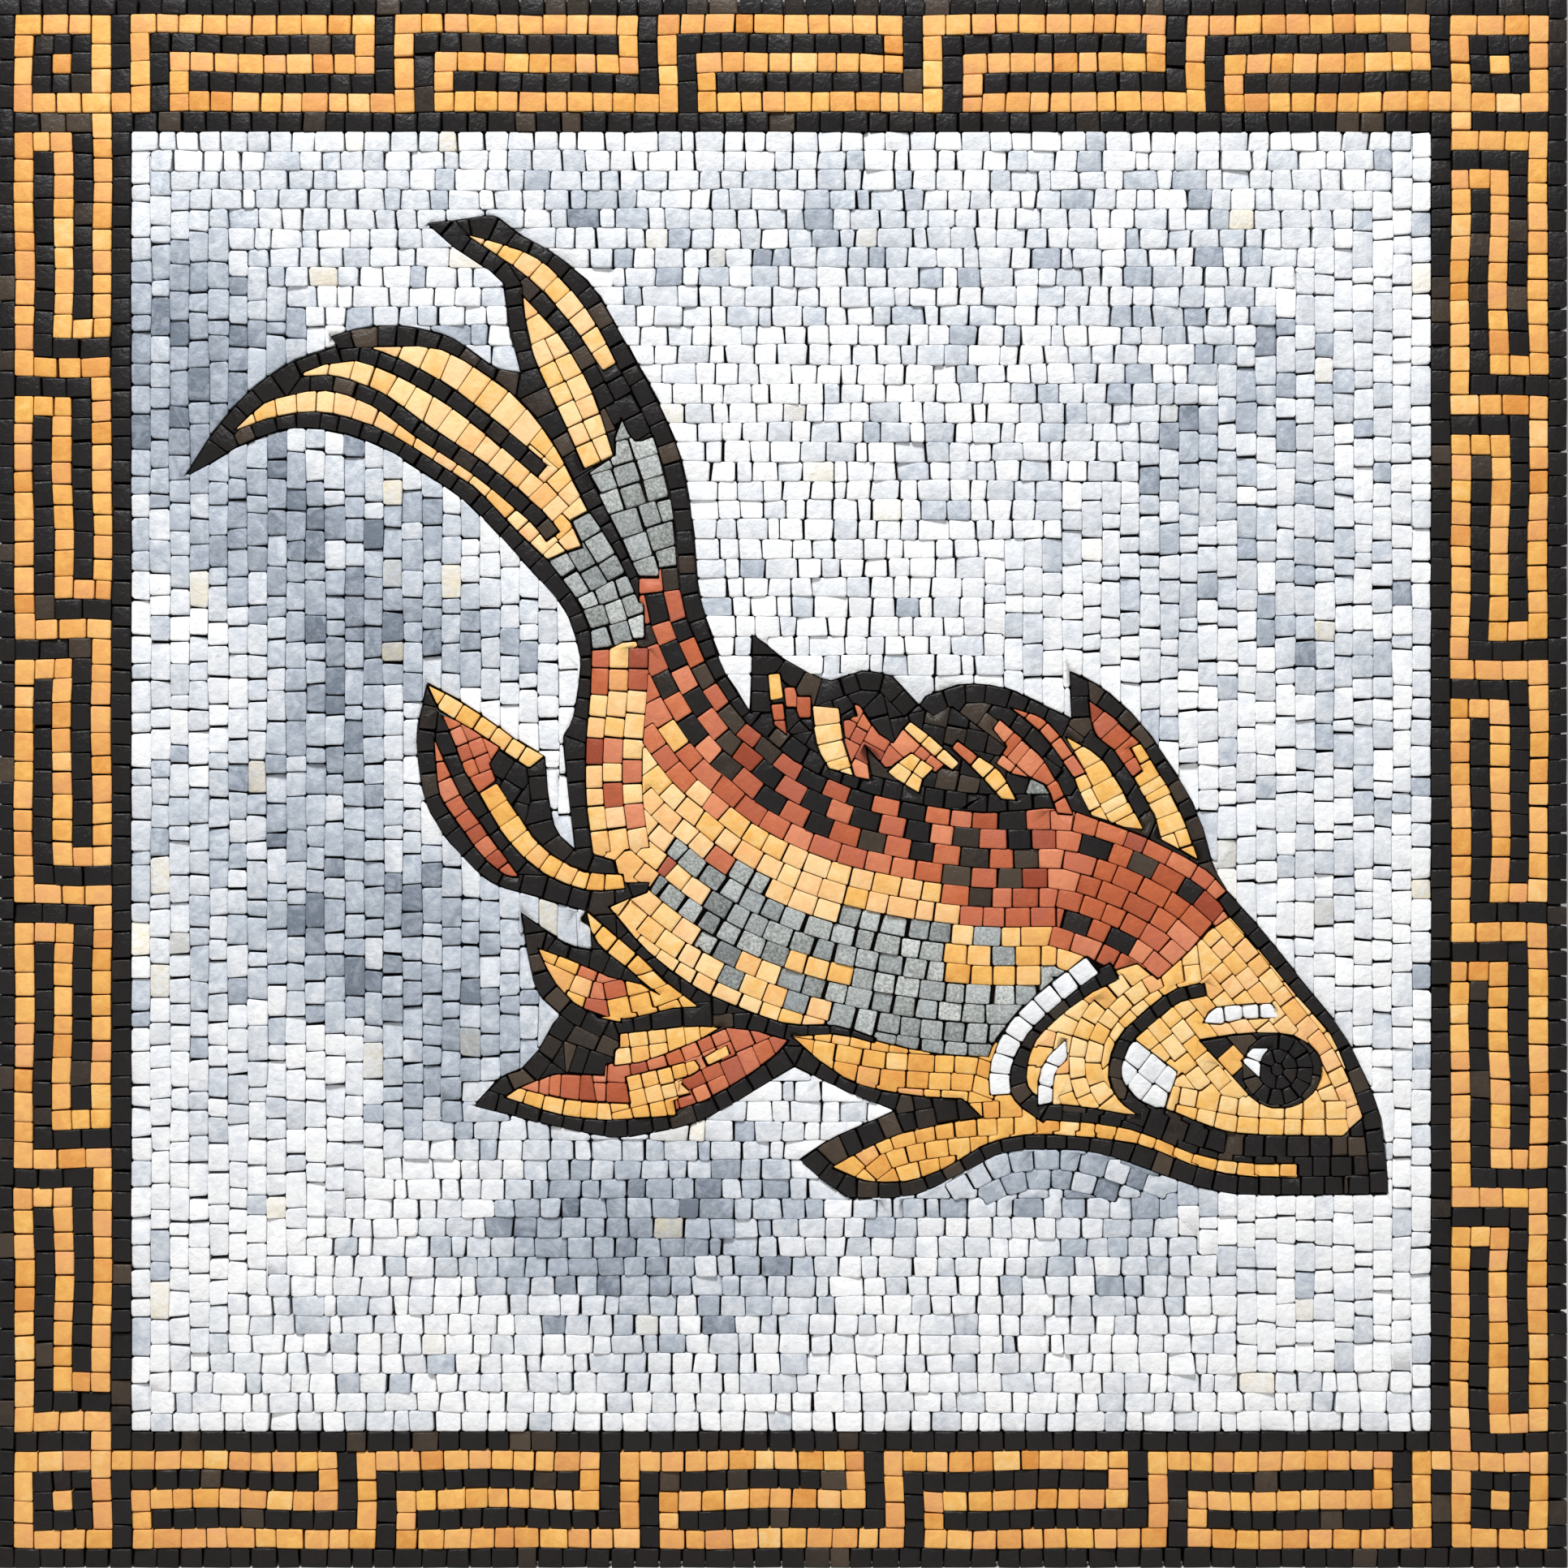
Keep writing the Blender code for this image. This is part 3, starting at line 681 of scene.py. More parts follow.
# %% Lay the border
def swayed(points):
    """Border points moved by a slow sway, which fades out at the panel's edge and at the field."""
    x, z = points.T
    depth = (PANEL_HALF - np.abs(points).max(axis=1)) / (BORDER_COURSES * COURSE)
    fade = np.sin(math.pi * np.clip(depth, 0, 1))
    sideways = np.sin(47 * z + 3 * np.sin(31 * x)) + 0.5 * np.sin(131 * z + 40 * x)
    upwards = np.sin(53 * x + 1.3 + 2 * np.sin(23 * z)) + 0.5 * np.sin(119 * x + 37 * z)
    return points + SWAY * np.column_stack([fade * sideways, fade * upwards])


border_stones = []
for side in range(4):
    for colour, s0, s1, t0, t1 in side_bars():
        length, width = s1 - s0, t1 - t0
        lengthwise = length >= width
        joints = even_joints(max(length, width) * COURSE, BORDER_STONE) / COURSE
        for a, b in zip(joints, joints[1:]):
            if lengthwise:
                corners = np.array([(s0 + a, t0), (s0 + b, t0), (s0 + b, t1), (s0 + a, t1)])
            else:
                corners = np.array([(s0, t0 + a), (s1, t0 + a), (s1, t0 + b), (s0, t0 + b)])
            along = turned(side, np.array([(1.0, 0), (0, 0)] if lengthwise else [(0, 1.0), (0, 0)]))
            along = (along[0] - along[1]) / COURSE
            border_stones.append((ccw(swayed(turned(side, corners))), along, {"colour": colour}))
print(len(border_stones), "stones in the border")

# %% [markdown]
# ## The fish
#
# The fish is drawn first with one row of black stones along its whole outline. The rows of the body
# follow the line of the back, and those of the head follow its profile. In the cheek they bend round
# the gill. The mouth, the jaw, the pectoral fin, the chin, the side of the belly and the lower fin
# have lines of their own, and the eye is laid in rings. The other fins and the tail are narrow, so
# their areas are simply cut across at every stone. Points are given in the fish's own units, or in
# pixels of the photograph where the name says so.

# %% Guide lines of the fish
BACK_LINE = [(-86, 179), (-83, 153), (-76, 129), (-56, 86), (-32, 52), (-12, 36), (8, 19), (35, 4),
             (66, -8), (99, -16), (133, -22), (173, -26), (219, -26), (241, -27), (278, -37),
             (315, -52), (352, -73), (378, -95)]
BELLY_SIDE = [(-157, 112), (-158, 76), (-162, 32), (-162, -15), (-156, -61)]
HEAD_PROFILE = [(362, -84), (402, -127), (442, -178), (466, -208), (486, -247), (499, -286), (506, -346)]
CHIN = [(508, -342), (429, -343), (368, -341), (321, -328), (271, -310), (230, -305)]
PUPIL = (412, -239)
LOWER_FIN_EDGE_PX = [(1010, 1262), (969, 1289), (919, 1329), (861, 1358), (789, 1376), (738, 1382),
                     (680, 1372), (626, 1351), (590, 1335)]
CHEEK_LINE_PX = [(1483, 1220), (1440, 1227), (1403, 1250), (1377, 1280), (1369, 1313), (1380, 1343),
                 (1410, 1369)]
PECTORAL_LINE_PX = [(1029, 1437), (1069, 1401), (1122, 1383), (1193, 1374), (1267, 1370), (1320, 1366),
                    (1380, 1373), (1433, 1391), (1487, 1410), (1540, 1420), (1600, 1423)]
JAW_LINE_PX = [(975, 1278), (1033, 1288), (1087, 1297), (1140, 1301), (1211, 1306), (1265, 1330)]
MOUTH_LINE_PX = [(1660, 1400), (1607, 1401), (1533, 1398), (1473, 1387), (1420, 1377)]
# The wide black areas of the dorsal fin are laid in rows along this line.
FIN_LINE_PX = [(1000, 590), (1600, 1040)]
# An outline is cut into separate guides where it turns by more than this.
CORNER_TURN = math.radians(48)
SHORTEST_GUIDE = 0.25 * COURSE
# A black line narrower than LINE_WIDTH is one stone deep. Its depth is measured from LINE_START
# behind its outer edge, and its stones reach LINE_LAP beyond both of its edges. Where the black is
# wider, the stones along its edge are WIDE_LINE_STONE deep.
LINE_WIDTH = 1.5 * COURSE
LINE_START = 0.0012
LINE_LAP = 0.0004
WIDE_LINE_STONE = 0.95 * COURSE
CHECKED_ROWS = 4
# Inner and outer edge of each ring of the eye, in courses, and how many stones it has.
EYE_RINGS = ((0.0, 0.36, 1), (0.36, 1.05, 7), (1.05, 1.85, 13))


# %% Stones along the black outline
def stretches(loop):
    """A closed outline cut at its corners into open, evenly stepped lines."""
    ahead = np.roll(loop, -1, axis=0) - loop
    angle = np.arctan2(ahead[:, 1], ahead[:, 0])
    turn = (angle - np.roll(angle, 1) + math.pi) % (2 * math.pi) - math.pi
    corners = np.flatnonzero(np.abs(turn) > CORNER_TURN)
    for first, last in zip(corners, np.roll(corners, -1)):
        span = (last - first) % len(loop) or len(loop)
        stretch = loop[(first + np.arange(span + 1)) % len(loop)]
        distance = travelled(stretch)
        if distance[-1] > SHORTEST_GUIDE:
            steps = max(3, round(distance[-1] / GUIDE_STEP))
            yield at(stretch, distance, np.linspace(0, distance[-1], steps))


black_sides = []
for name in FISH_NODES:
    if SLOT_OF[name] == "black_stone":
        for loop in OUTLINES[name]:
            black_sides.append(np.hstack([loop, np.roll(loop, -1, axis=0)]))
black_sides = np.vstack(black_sides)


def line_depth(spots, sides):
    """How far the black line reaches behind each spot, or one course where it is wide."""
    depths = []
    a, b = black_sides[:, :2], black_sides[:, 2:]
    for spot, side in zip(spots, sides):
        along = b - a
        start = spot + side * LINE_START
        cross = side[0] * along[:, 1] - side[1] * along[:, 0]
        cross = np.where(np.abs(cross) < 1e-12, 1e-12, cross)
        offset = a - start
        reach = (offset[:, 0] * along[:, 1] - offset[:, 1] * along[:, 0]) / cross
        share = (offset[:, 0] * side[1] - offset[:, 1] * side[0]) / cross
        hits = reach[(share >= 0) & (share <= 1) & (reach > 0)]
        depth = LINE_START + (hits.min() if len(hits) else 1)
        depths.append(depth + LINE_LAP if depth < LINE_WIDTH else WIDE_LINE_STONE)
    return np.array(depths)


outline_quads = []
for loop in FIELD:
    if signed_area(loop) < 0:
        for line in stretches(loop):
            outline_quads += course_quads(line, -LINE_LAP, COURSE, 1.12 * COURSE, depth=line_depth)
print(len(outline_quads), "stones laid along the outline")


# %% Courses of the fish
def courses(line, first, pitch, count, stone, joints=None, **facts):
    """Several courses side by side to the right of a line. All sizes are given in courses."""
    quads = []
    for row in range(count):
        near = (first + row * pitch) * COURSE
        shared = joints if row < CHECKED_ROWS else None
        quads += course_quads(line, near, near + pitch * COURSE, stone * COURSE, shared, row=row, **facts)
    return quads


def drawn(points):
    """A guide line through points of the fish's drawing."""
    return smooth(np.array(points, float) * UNIT, GUIDE_STEP)


def traced(points):
    """A guide line through places on the photograph."""
    return smooth(from_px(points), GUIDE_STEP)


BACK = drawn(BACK_LINE)
above_back = course_quads(BACK, -0.95 * COURSE, -0.02 * COURSE, 1.1 * COURSE)
fin_line = from_px(np.linspace(*FIN_LINE_PX, 40))
fin_quads = courses(fin_line, first=0, pitch=0.84, count=28, stone=1.2)
back_joints = even_joints(travelled(BACK)[-1], 1.3 * COURSE)
back_quads = courses(BACK, first=-0.15, pitch=1, count=17, stone=1.2,
                     joints=back_joints / back_joints[-1], guide="back")
side_quads = courses(drawn(BELLY_SIDE[::-1]), first=-0.1, pitch=1, count=3, stone=1.15)
lower_quads = courses(traced(LOWER_FIN_EDGE_PX), first=-0.1, pitch=0.9, count=8, stone=1.1)
cheek_quads = courses(traced(CHEEK_LINE_PX), first=0.5, pitch=0.84, count=5, stone=0.98)
mouth_quads = courses(traced(MOUTH_LINE_PX), first=0, pitch=0.9, count=2, stone=1.1)
pectoral_quads = courses(traced(PECTORAL_LINE_PX), first=-0.62, pitch=0.88, count=4, stone=1.05)
jaw_quads = courses(traced(JAW_LINE_PX), first=-0.05, pitch=0.88, count=4, stone=1.2)
profile_quads = courses(drawn(HEAD_PROFILE), first=0.85, pitch=0.86, count=16, stone=1.02, guide="head")
chin_quads = courses(drawn(CHIN), first=0.95, pitch=1, count=5, stone=1.05)
print(len(back_quads), "stones laid along the back and", len(profile_quads), "along the head's profile")

# %% Rings of the eye
eye_quads = []
for ring, (near, far, count) in enumerate(EYE_RINGS):
    for number in range(count):
        turns = np.array([number, number + 1]) / count * 2 * math.pi + ring
        if count == 1:
            turns = np.array([0, 0.5 * math.pi, math.pi, 1.5 * math.pi])
        arms = np.column_stack([np.cos(turns), np.sin(turns)])
        corners = arms * far if count == 1 else np.vstack([arms * near, arms[::-1] * far])
        corners = np.array(PUPIL) * UNIT + corners * COURSE
        along = np.array([-math.sin(turns.mean()), math.cos(turns.mean())])
        eye_quads.append({"corners": ccw(corners), "along": along})
print(len(eye_quads), "stones laid in the eye")

# %% [markdown]
# Every area of the fish is now cut with the courses that run through it. The areas of the body are
# cut together, and so are those of the lower fin, so their borders step along whole stones, and a
# stone belongs to the area that holds most of it.

# %% Cut the fish
BODY = ("back_red", "body_gold", "belly_gold", "belly_grey", "flank_gold_1", "flank_gold_2")
LOWER_FIN = ("lower_fin_gold", "lower_fin_gold_tip", "lower_fin_red", "lower_fin_strip")
GUIDES = {
    "fish_black_upper": outline_quads + above_back + fin_quads,
    "fish_black_lower": outline_quads + chin_quads,
    "fish_black_eye": eye_quads,
    "head_gold": cheek_quads + mouth_quads + profile_quads,
    "jaw_gold": pectoral_quads + jaw_quads,
}
# Length and width of the stones in courses, where they are finer than in the rest of the fish.
FINE_STONES = dict.fromkeys(("dorsal", "lobe", "pelvic", "pectoral", "brow", "eye"), (0.95, 0.72))
FINE_STONES["jaw"] = (1.05, 0.85)
MIDDLING_STONE = (1.12, 0.92)
# A stone is sampled at its middle and this far out towards each of its corners.
SAMPLES = (0.45, 0.8)


def nearest_area(outline, names):
    """The area that holds most of a stone."""
    middle = outline.mean(axis=0)
    samples = np.vstack([middle, *[middle + (outline - middle) * out for out in SAMPLES]])
    shares = [inside(samples, OUTLINES[name]).sum() for name in names]
    return names[int(np.argmax(shares))]


fish_stones = []
groups = [(BODY, side_quads + back_quads), (LOWER_FIN, lower_quads)]
groups += [((name,), GUIDES.get(name, [])) for name in FISH_NODES if name not in BODY + LOWER_FIN]
for names, quads in groups:
    length, width = np.array(FINE_STONES.get(names[0].split("_")[0], MIDDLING_STONE)) * COURSE
    for outline, along, quad in cut_area([OUTLINES[name] for name in names], quads, length, width):
        area = nearest_area(outline, names)
        colour = SLOT_OF[area].split("_")[0]
        fish_stones.append((outline, along, {"colour": colour, **quad, "area": area}))
print(len(fish_stones), "stones in the fish")

# %% [markdown]
# ## One stone's shape
#
# A tessera is split off a strip of marble with hammer or nippers, so no stone is a true rectangle. Its
# outline is drawn in from its neighbours by a different amount on each side, which leaves the open,
# wedge-shaped joints, and its corners are worn or chipped off. A Bevel modifier would round all the
# corners alike, so the outline is shaped here, before the stone has any height.

# %% How each kind of stone is cut
# In metres: the tight joints between courses, the loose ones within a course, how far a side leans in
# to make a wedge, how much of a corner is worn off, and how far back the lowest stones lie. The last
# is the steepest slope of a stone's face.
HAND = {
    "white": dict(tight=(0.00000, 0.00009), loose=(0.00001, 0.00034), wedge=0.0006,
                  worn=(0.0003, 0.0011), low=0.0009, slope=0.12),
    "black": dict(tight=(0.00004, 0.00030), loose=(0.00005, 0.00050), wedge=0.0004,
                  worn=(0.0002, 0.0006), low=0.0009, slope=0.10),
    "gold": dict(tight=(0.00008, 0.00028), loose=(0.00008, 0.00040), wedge=0.0003,
                 worn=(0.0002, 0.0006), low=0.0006, slope=0.06),
    "red": dict(tight=(0.00008, 0.00026), loose=(0.00009, 0.00040), wedge=0.0003,
                worn=(0.0002, 0.0006), low=0.0007, slope=0.07),
    "grey": dict(tight=(0.00008, 0.00050), loose=(0.00010, 0.00080), wedge=0.0007,
                 worn=(0.0003, 0.0007), low=0.0012, slope=0.10),
}
# Stones stay this far inside the panel's edge. A plan keeps the points that are further than
# PLAN_ERROR off its straight sides. A stone that its joints leave too little of is left out.
EDGE_CLEARANCE = 0.0001
PANEL_EDGE = PANEL_HALF - SOLID_JOINT / 2 - EDGE_CLEARANCE
PLAN_ERROR = 0.00022
LEAST_SHARE = 0.25
LEAST_AREA = 3e-6
# The gaps within a course are the looser ones: at the sides whose direction has less than this
# cosine with the course. Sides that meet at less than LEAST_TURN, as a sine, are moved as one.
ACROSS = 0.6
LEAST_TURN = 0.2
# A corner blunter than this, as a cosine, isn't worn, and wear takes at most a share of a side.
BLUNT = -0.8
MOST_WORN = 0.3
# The higher this power, the more of the joints are near the tight end of their range.
MOSTLY = 2.2


# %% Shape the outlines
def mostly_low(low, high, count):
    """Random numbers between two, of which most are near the lower."""
    return low + (high - low) * chance.random(count) ** MOSTLY


def plain_outline(loop, error):
    """The loop less the points that hardly turn it."""
    loop = list(loop)
    while len(loop) > 3:
        points = np.array(loop)
        before, after = np.roll(points, 1, axis=0), np.roll(points, -1, axis=0)
        chord = after - before
        height = np.abs(chord[:, 0] * (points - before)[:, 1] - chord[:, 1] * (points - before)[:, 0])
        height /= np.maximum(np.hypot(*chord.T), 1e-9)
        least = int(height.argmin())
        if height[least] > error:
            break
        del loop[least]
    return np.array(loop)


def drawn_in(loop, along, hand):
    """The outline moved inwards, each side by its own joint."""
    ahead = np.roll(loop, -1, axis=0) - loop
    ahead /= np.maximum(np.hypot(*ahead.T), 1e-9)[:, None]
    across = np.abs(ahead @ along) < ACROSS
    joint = np.where(across, mostly_low(*hand["loose"], len(loop)), mostly_low(*hand["tight"], len(loop)))
    normal = np.column_stack([-ahead[:, 1], ahead[:, 0]])
    moved = []
    for i in range(len(loop)):
        n0, n1 = normal[i - 1], normal[i]
        d0, d1 = joint[i - 1], joint[i]
        turn = n0[0] * n1[1] - n0[1] * n1[0]
        if abs(turn) < LEAST_TURN:
            moved.append(loop[i] + (n0 + n1) / 2 * (d0 + d1) / 2)
        else:
            step = np.array([d0 * n1[1] - d1 * n0[1], d1 * n0[0] - d0 * n1[0]]) / turn
            moved.append(loop[i] + step)
    moved = np.array(moved)
    side = np.sign((moved - moved.mean(axis=0)) @ along)
    return moved - (side * mostly_low(0, hand["wedge"], len(moved)))[:, None] * along


def worn_corners(loop, hand):
    """Each sharp corner cut off, by a different amount."""
    before, after = np.roll(loop, 1, axis=0) - loop, np.roll(loop, -1, axis=0) - loop
    back, fore = np.hypot(*before.T), np.hypot(*after.T)
    points = []
    for i in range(len(loop)):
        u, v = before[i] / max(back[i], 1e-9), after[i] / max(fore[i], 1e-9)
        wear = chance.uniform(*hand["worn"], 2)
        if u @ v < BLUNT:
            points.append(loop[i])
            continue
        points.append(loop[i] + u * min(wear[0], MOST_WORN * back[i]))
        points.append(loop[i] + v * min(wear[1], MOST_WORN * fore[i]))
    return np.array(points)


def shaped(outline, along, colour):
    """A stone's plan, or None where the joints leave nothing of it."""
    hand = HAND[colour]
    loop = ccw(plain_outline(outline, PLAN_ERROR))
    moved = drawn_in(loop, along, hand)
    if signed_area(moved) < max(LEAST_SHARE * signed_area(loop), LEAST_AREA):
        return None
    return np.clip(worn_corners(moved, hand), -PANEL_EDGE, PANEL_EDGE)


# %% [markdown]
# ## Tones
#
# The white marble runs from nearly white to slate grey, and the mosaicist has gathered the darker
# stones into clouds behind the fish. A noise pattern over the whole field would run on across the
# joints, so each stone gets one tone, from soft spots that each have a place, a size and a depth.
# The other stones vary by piece: some black ones are brownish, and the gold runs from pale to deep
# and from yellow to peach, by the part of the fish. The red stones behind the head are browner.

# %% Tones and where they lie
# Clouds in the field: middle and half sizes in photograph pixels, then how grey they are.
CLOUDS_PX = (
    (245, 430, 115, 120, 1.0), (350, 640, 140, 95, 0.85), (480, 760, 160, 85, 0.75),
    (395, 1000, 105, 220, 0.72), (540, 1180, 150, 120, 0.75), (590, 1310, 110, 110, 0.65),
    (785, 1525, 190, 115, 0.82), (1340, 1445, 170, 50, 0.70), (970, 300, 260, 90, 0.35),
    (1480, 520, 180, 260, 0.38), (1070, 1475, 110, 50, 0.40), (1365, 1565, 100, 70, 0.40),
    (290, 1250, 90, 160, 0.35), (215, 1040, 70, 190, 0.35), (1640, 820, 90, 200, 0.30),
    (700, 240, 120, 60, 0.30), (360, 250, 230, 90, 0.32), (540, 430, 90, 40, 0.55),
)
# The browner stones behind the head: middle and half sizes.
BROWN_PATCH_PX = (1395, 1100, 62, 48)
# How deep the gold is in some areas, the rest being middling.
GOLD_DEPTHS = (("border", 0.66), ("tail", 0.20), ("body", 0.22), ("belly", 0.25), ("flank", 0.42),
               ("head", 0.28), ("jaw", 0.55), ("dorsal", 0.30))
# How peach coloured the gold is in each part of the panel.
PEACHES = {"border": 0.40, "forehead": 0.50, "body": 0.48, "belly": 0.48, "tail": 0.42, "flank": 0.30,
           "head": 0.06, "jaw": 0.06, "dorsal": 0.05, "lobe": 0.05, "pelvic": 0.05, "pectoral": 0.20,
           "lower": 0.05, "eye": 0.05}
FOREHEAD_ROWS = 5
MIDDLING_DEPTH = 0.45
MIDDLING_PEACH = 0.2
# Tone of the clear field and of a full cloud beyond it, and how much each spreads.
CLEAR_TONE, CLOUD_TONE = 0.05, 0.62
CLEAR_SPREAD, CLOUD_SPREAD = 0.08, 0.07
TONE_SPREADS = {"gold": 0.14, "grey": 0.17, "red": 0.28}
# Shares of the white stones that are darker than their place or stained, and of the pinkish gold.
DARKER_SHARE = 0.14
STAINED_SHARE = 0.015
PINKISH_SHARE = 0.08
# Share of the black stones that are brownish: on the chequered back, in the border, and elsewhere.
BROWNISH = {"back_red": 0.5, None: 0.10}
BROWNISH_ELSEWHERE = 0.20
# Lowest and highest tone or warmth of each kind of stone that isn't the common one.
WHITE_IN_FISH = (0, 0.1)
DARKER_BY = (0.12, 0.35)
STAIN = (0.3, 1)
BROWNISH_TONE, BLACK_TONE = (0.45, 1), (0, 0.3)
PINKISH = (0.4, 1)
BROWN_RED_TONE, BROWN_RED_WARMTH = (0.45, 0.8), (0, 0.15)


# %% Choose each stone's tone
def within(patch, spot):
    """How far a place is from a patch's middle, where 1 is on its edge."""
    x, z = to_px(spot)
    cx, cz, rx, rz = patch
    return math.hypot((x - cx) / rx, (z - cz) / rz)


def cloudiness(spot):
    """How grey the field is at a place, from 0 to 1."""
    x, z = to_px(spot)
    ripple = 0.5 + 0.25 * math.sin(x / 41 + 1.3 * math.sin(z / 57)) + 0.25 * math.sin(z / 37 + x / 90)
    clear = 1.0
    for *patch, depth in CLOUDS_PX:
        away = within(patch, spot)
        clear *= 1 - depth * max(0.0, min(1.0, 1.5 - away * (0.85 + 0.35 * ripple)))
    return 1 - clear


def tone_of(colour, spot, facts):
    """A stone's (tone, warmth), each from 0 to 1."""
    if colour == "white":
        if facts.get("area"):
            return chance.uniform(*WHITE_IN_FISH), 0.0
        cloud = cloudiness(spot)
        tone = CLEAR_TONE + CLOUD_TONE * cloud + chance.normal(0, CLEAR_SPREAD + CLOUD_SPREAD * cloud)
        if chance.random() < DARKER_SHARE:
            tone += chance.uniform(*DARKER_BY)
        return min(1, max(0, tone)), (chance.uniform(*STAIN) if chance.random() < STAINED_SHARE else 0.0)
    if colour == "black":
        brown = BROWNISH.get(facts.get("area"), BROWNISH_ELSEWHERE)
        tone = chance.uniform(*(BROWNISH_TONE if chance.random() < brown else BLACK_TONE))
        return tone, chance.random()
    if colour == "gold":
        area = facts.get("area", "border")
        deep = next((depth for start, depth in GOLD_DEPTHS if area.startswith(start)), MIDDLING_DEPTH)
        forehead = facts.get("guide") == "head" and facts["row"] < FOREHEAD_ROWS
        peach = PEACHES.get("forehead" if forehead else area.split("_")[0], MIDDLING_PEACH)
        pink = chance.uniform(*(PINKISH if chance.random() < PINKISH_SHARE else (0, 2 * peach)))
        return min(1, max(0, chance.normal(deep, TONE_SPREADS[colour]))), pink
    if colour == "red" and within(BROWN_PATCH_PX, spot) < 1:
        return chance.uniform(*BROWN_RED_TONE), chance.uniform(*BROWN_RED_WARMTH)
    return min(1, max(0, chance.normal(0.5, TONE_SPREADS[colour]))), chance.random()


# %% [markdown]
# ## Making the stones solid
#
# The plan is a flat mesh with one face for each stone, and numbers stored on the faces say how it
# differs from the next. One Geometry Nodes tree turns every face into a block: it is pulled forward,
# then twice more by a little while its top shrinks, which rounds the edge as wear does. The top is
# tilted about its own middle, and the flat plan closes the back. Python could build every block, but
# the tree does it for all stones at once, and its sizes stay named inputs.

# %% Plan meshes
# How far the worn edge of an average stone reaches in from its outline.
RIM = 0.00045


def plan_mesh(name, stones):
    """A flat mesh of stone outlines, with each stone's own numbers on its face."""
    points, faces = [], []
    numbers = {"low": [], "shrink": [], "drop": [], "tone": [], "warm": []}
    vectors = {"slope": [], "middle": [], "seed": []}
    for plan, colour, tone, warm in stones:
        hand = HAND[colour]
        first = len(points)
        points += [(x, BED, z) for x, z in plan]
        faces.append(range(first, first + len(plan)))
        middle = plan.mean(axis=0)
        reach = float(np.hypot(*(plan - middle).T).max())
        slope = chance.uniform(-1, 1, 2) * hand["slope"]
        low = min(1.0, abs(chance.normal(0, 0.4))) * hand["low"] + math.hypot(*slope) * reach
        numbers["low"].append(low)
        wear = chance.uniform(0.6, 1.5)
        numbers["drop"].append(wear)
        numbers["shrink"].append(1 - RIM * wear / max(reach, 2 * RIM))
        numbers["tone"].append(tone)
        numbers["warm"].append(warm)
        vectors["slope"].append((slope[0], 0, slope[1]))
        vectors["middle"].append((middle[0], BED, middle[1]))
        vectors["seed"].append(tuple(chance.uniform(-5, 5, 3)))
    mesh = bpy.data.meshes.new(name)
    mesh.from_pydata(points, [], [list(face) for face in faces])
    for key, values in numbers.items():
        mesh.attributes.new(key, "FLOAT", "FACE").data.foreach_set("value", values)
    for key, values in vectors.items():
        mesh.attributes.new(key, "FLOAT_VECTOR", "FACE").data.foreach_set("vector", np.ravel(values))
    return mesh


# %% The tree that makes blocks
# The two steps of the worn edge: their share of its height, and how much of the shrinking they do.
ROUNDING = ((0.62, 0.55), (0.38, 1.4))
# Points more than this in front of the bed belong to a stone's top.
FOOT = 0.001
GRAIN_SCALE = 420.0
# Points nearer than this are welded, which closes each block.
WELD = 1e-6
# The height of the worn edge and the roughness of the faces, for white stones and for the others.
WHITE_FACE = (0.00035, 0.0003)
OTHER_FACE = (0.0003, 0.0002)


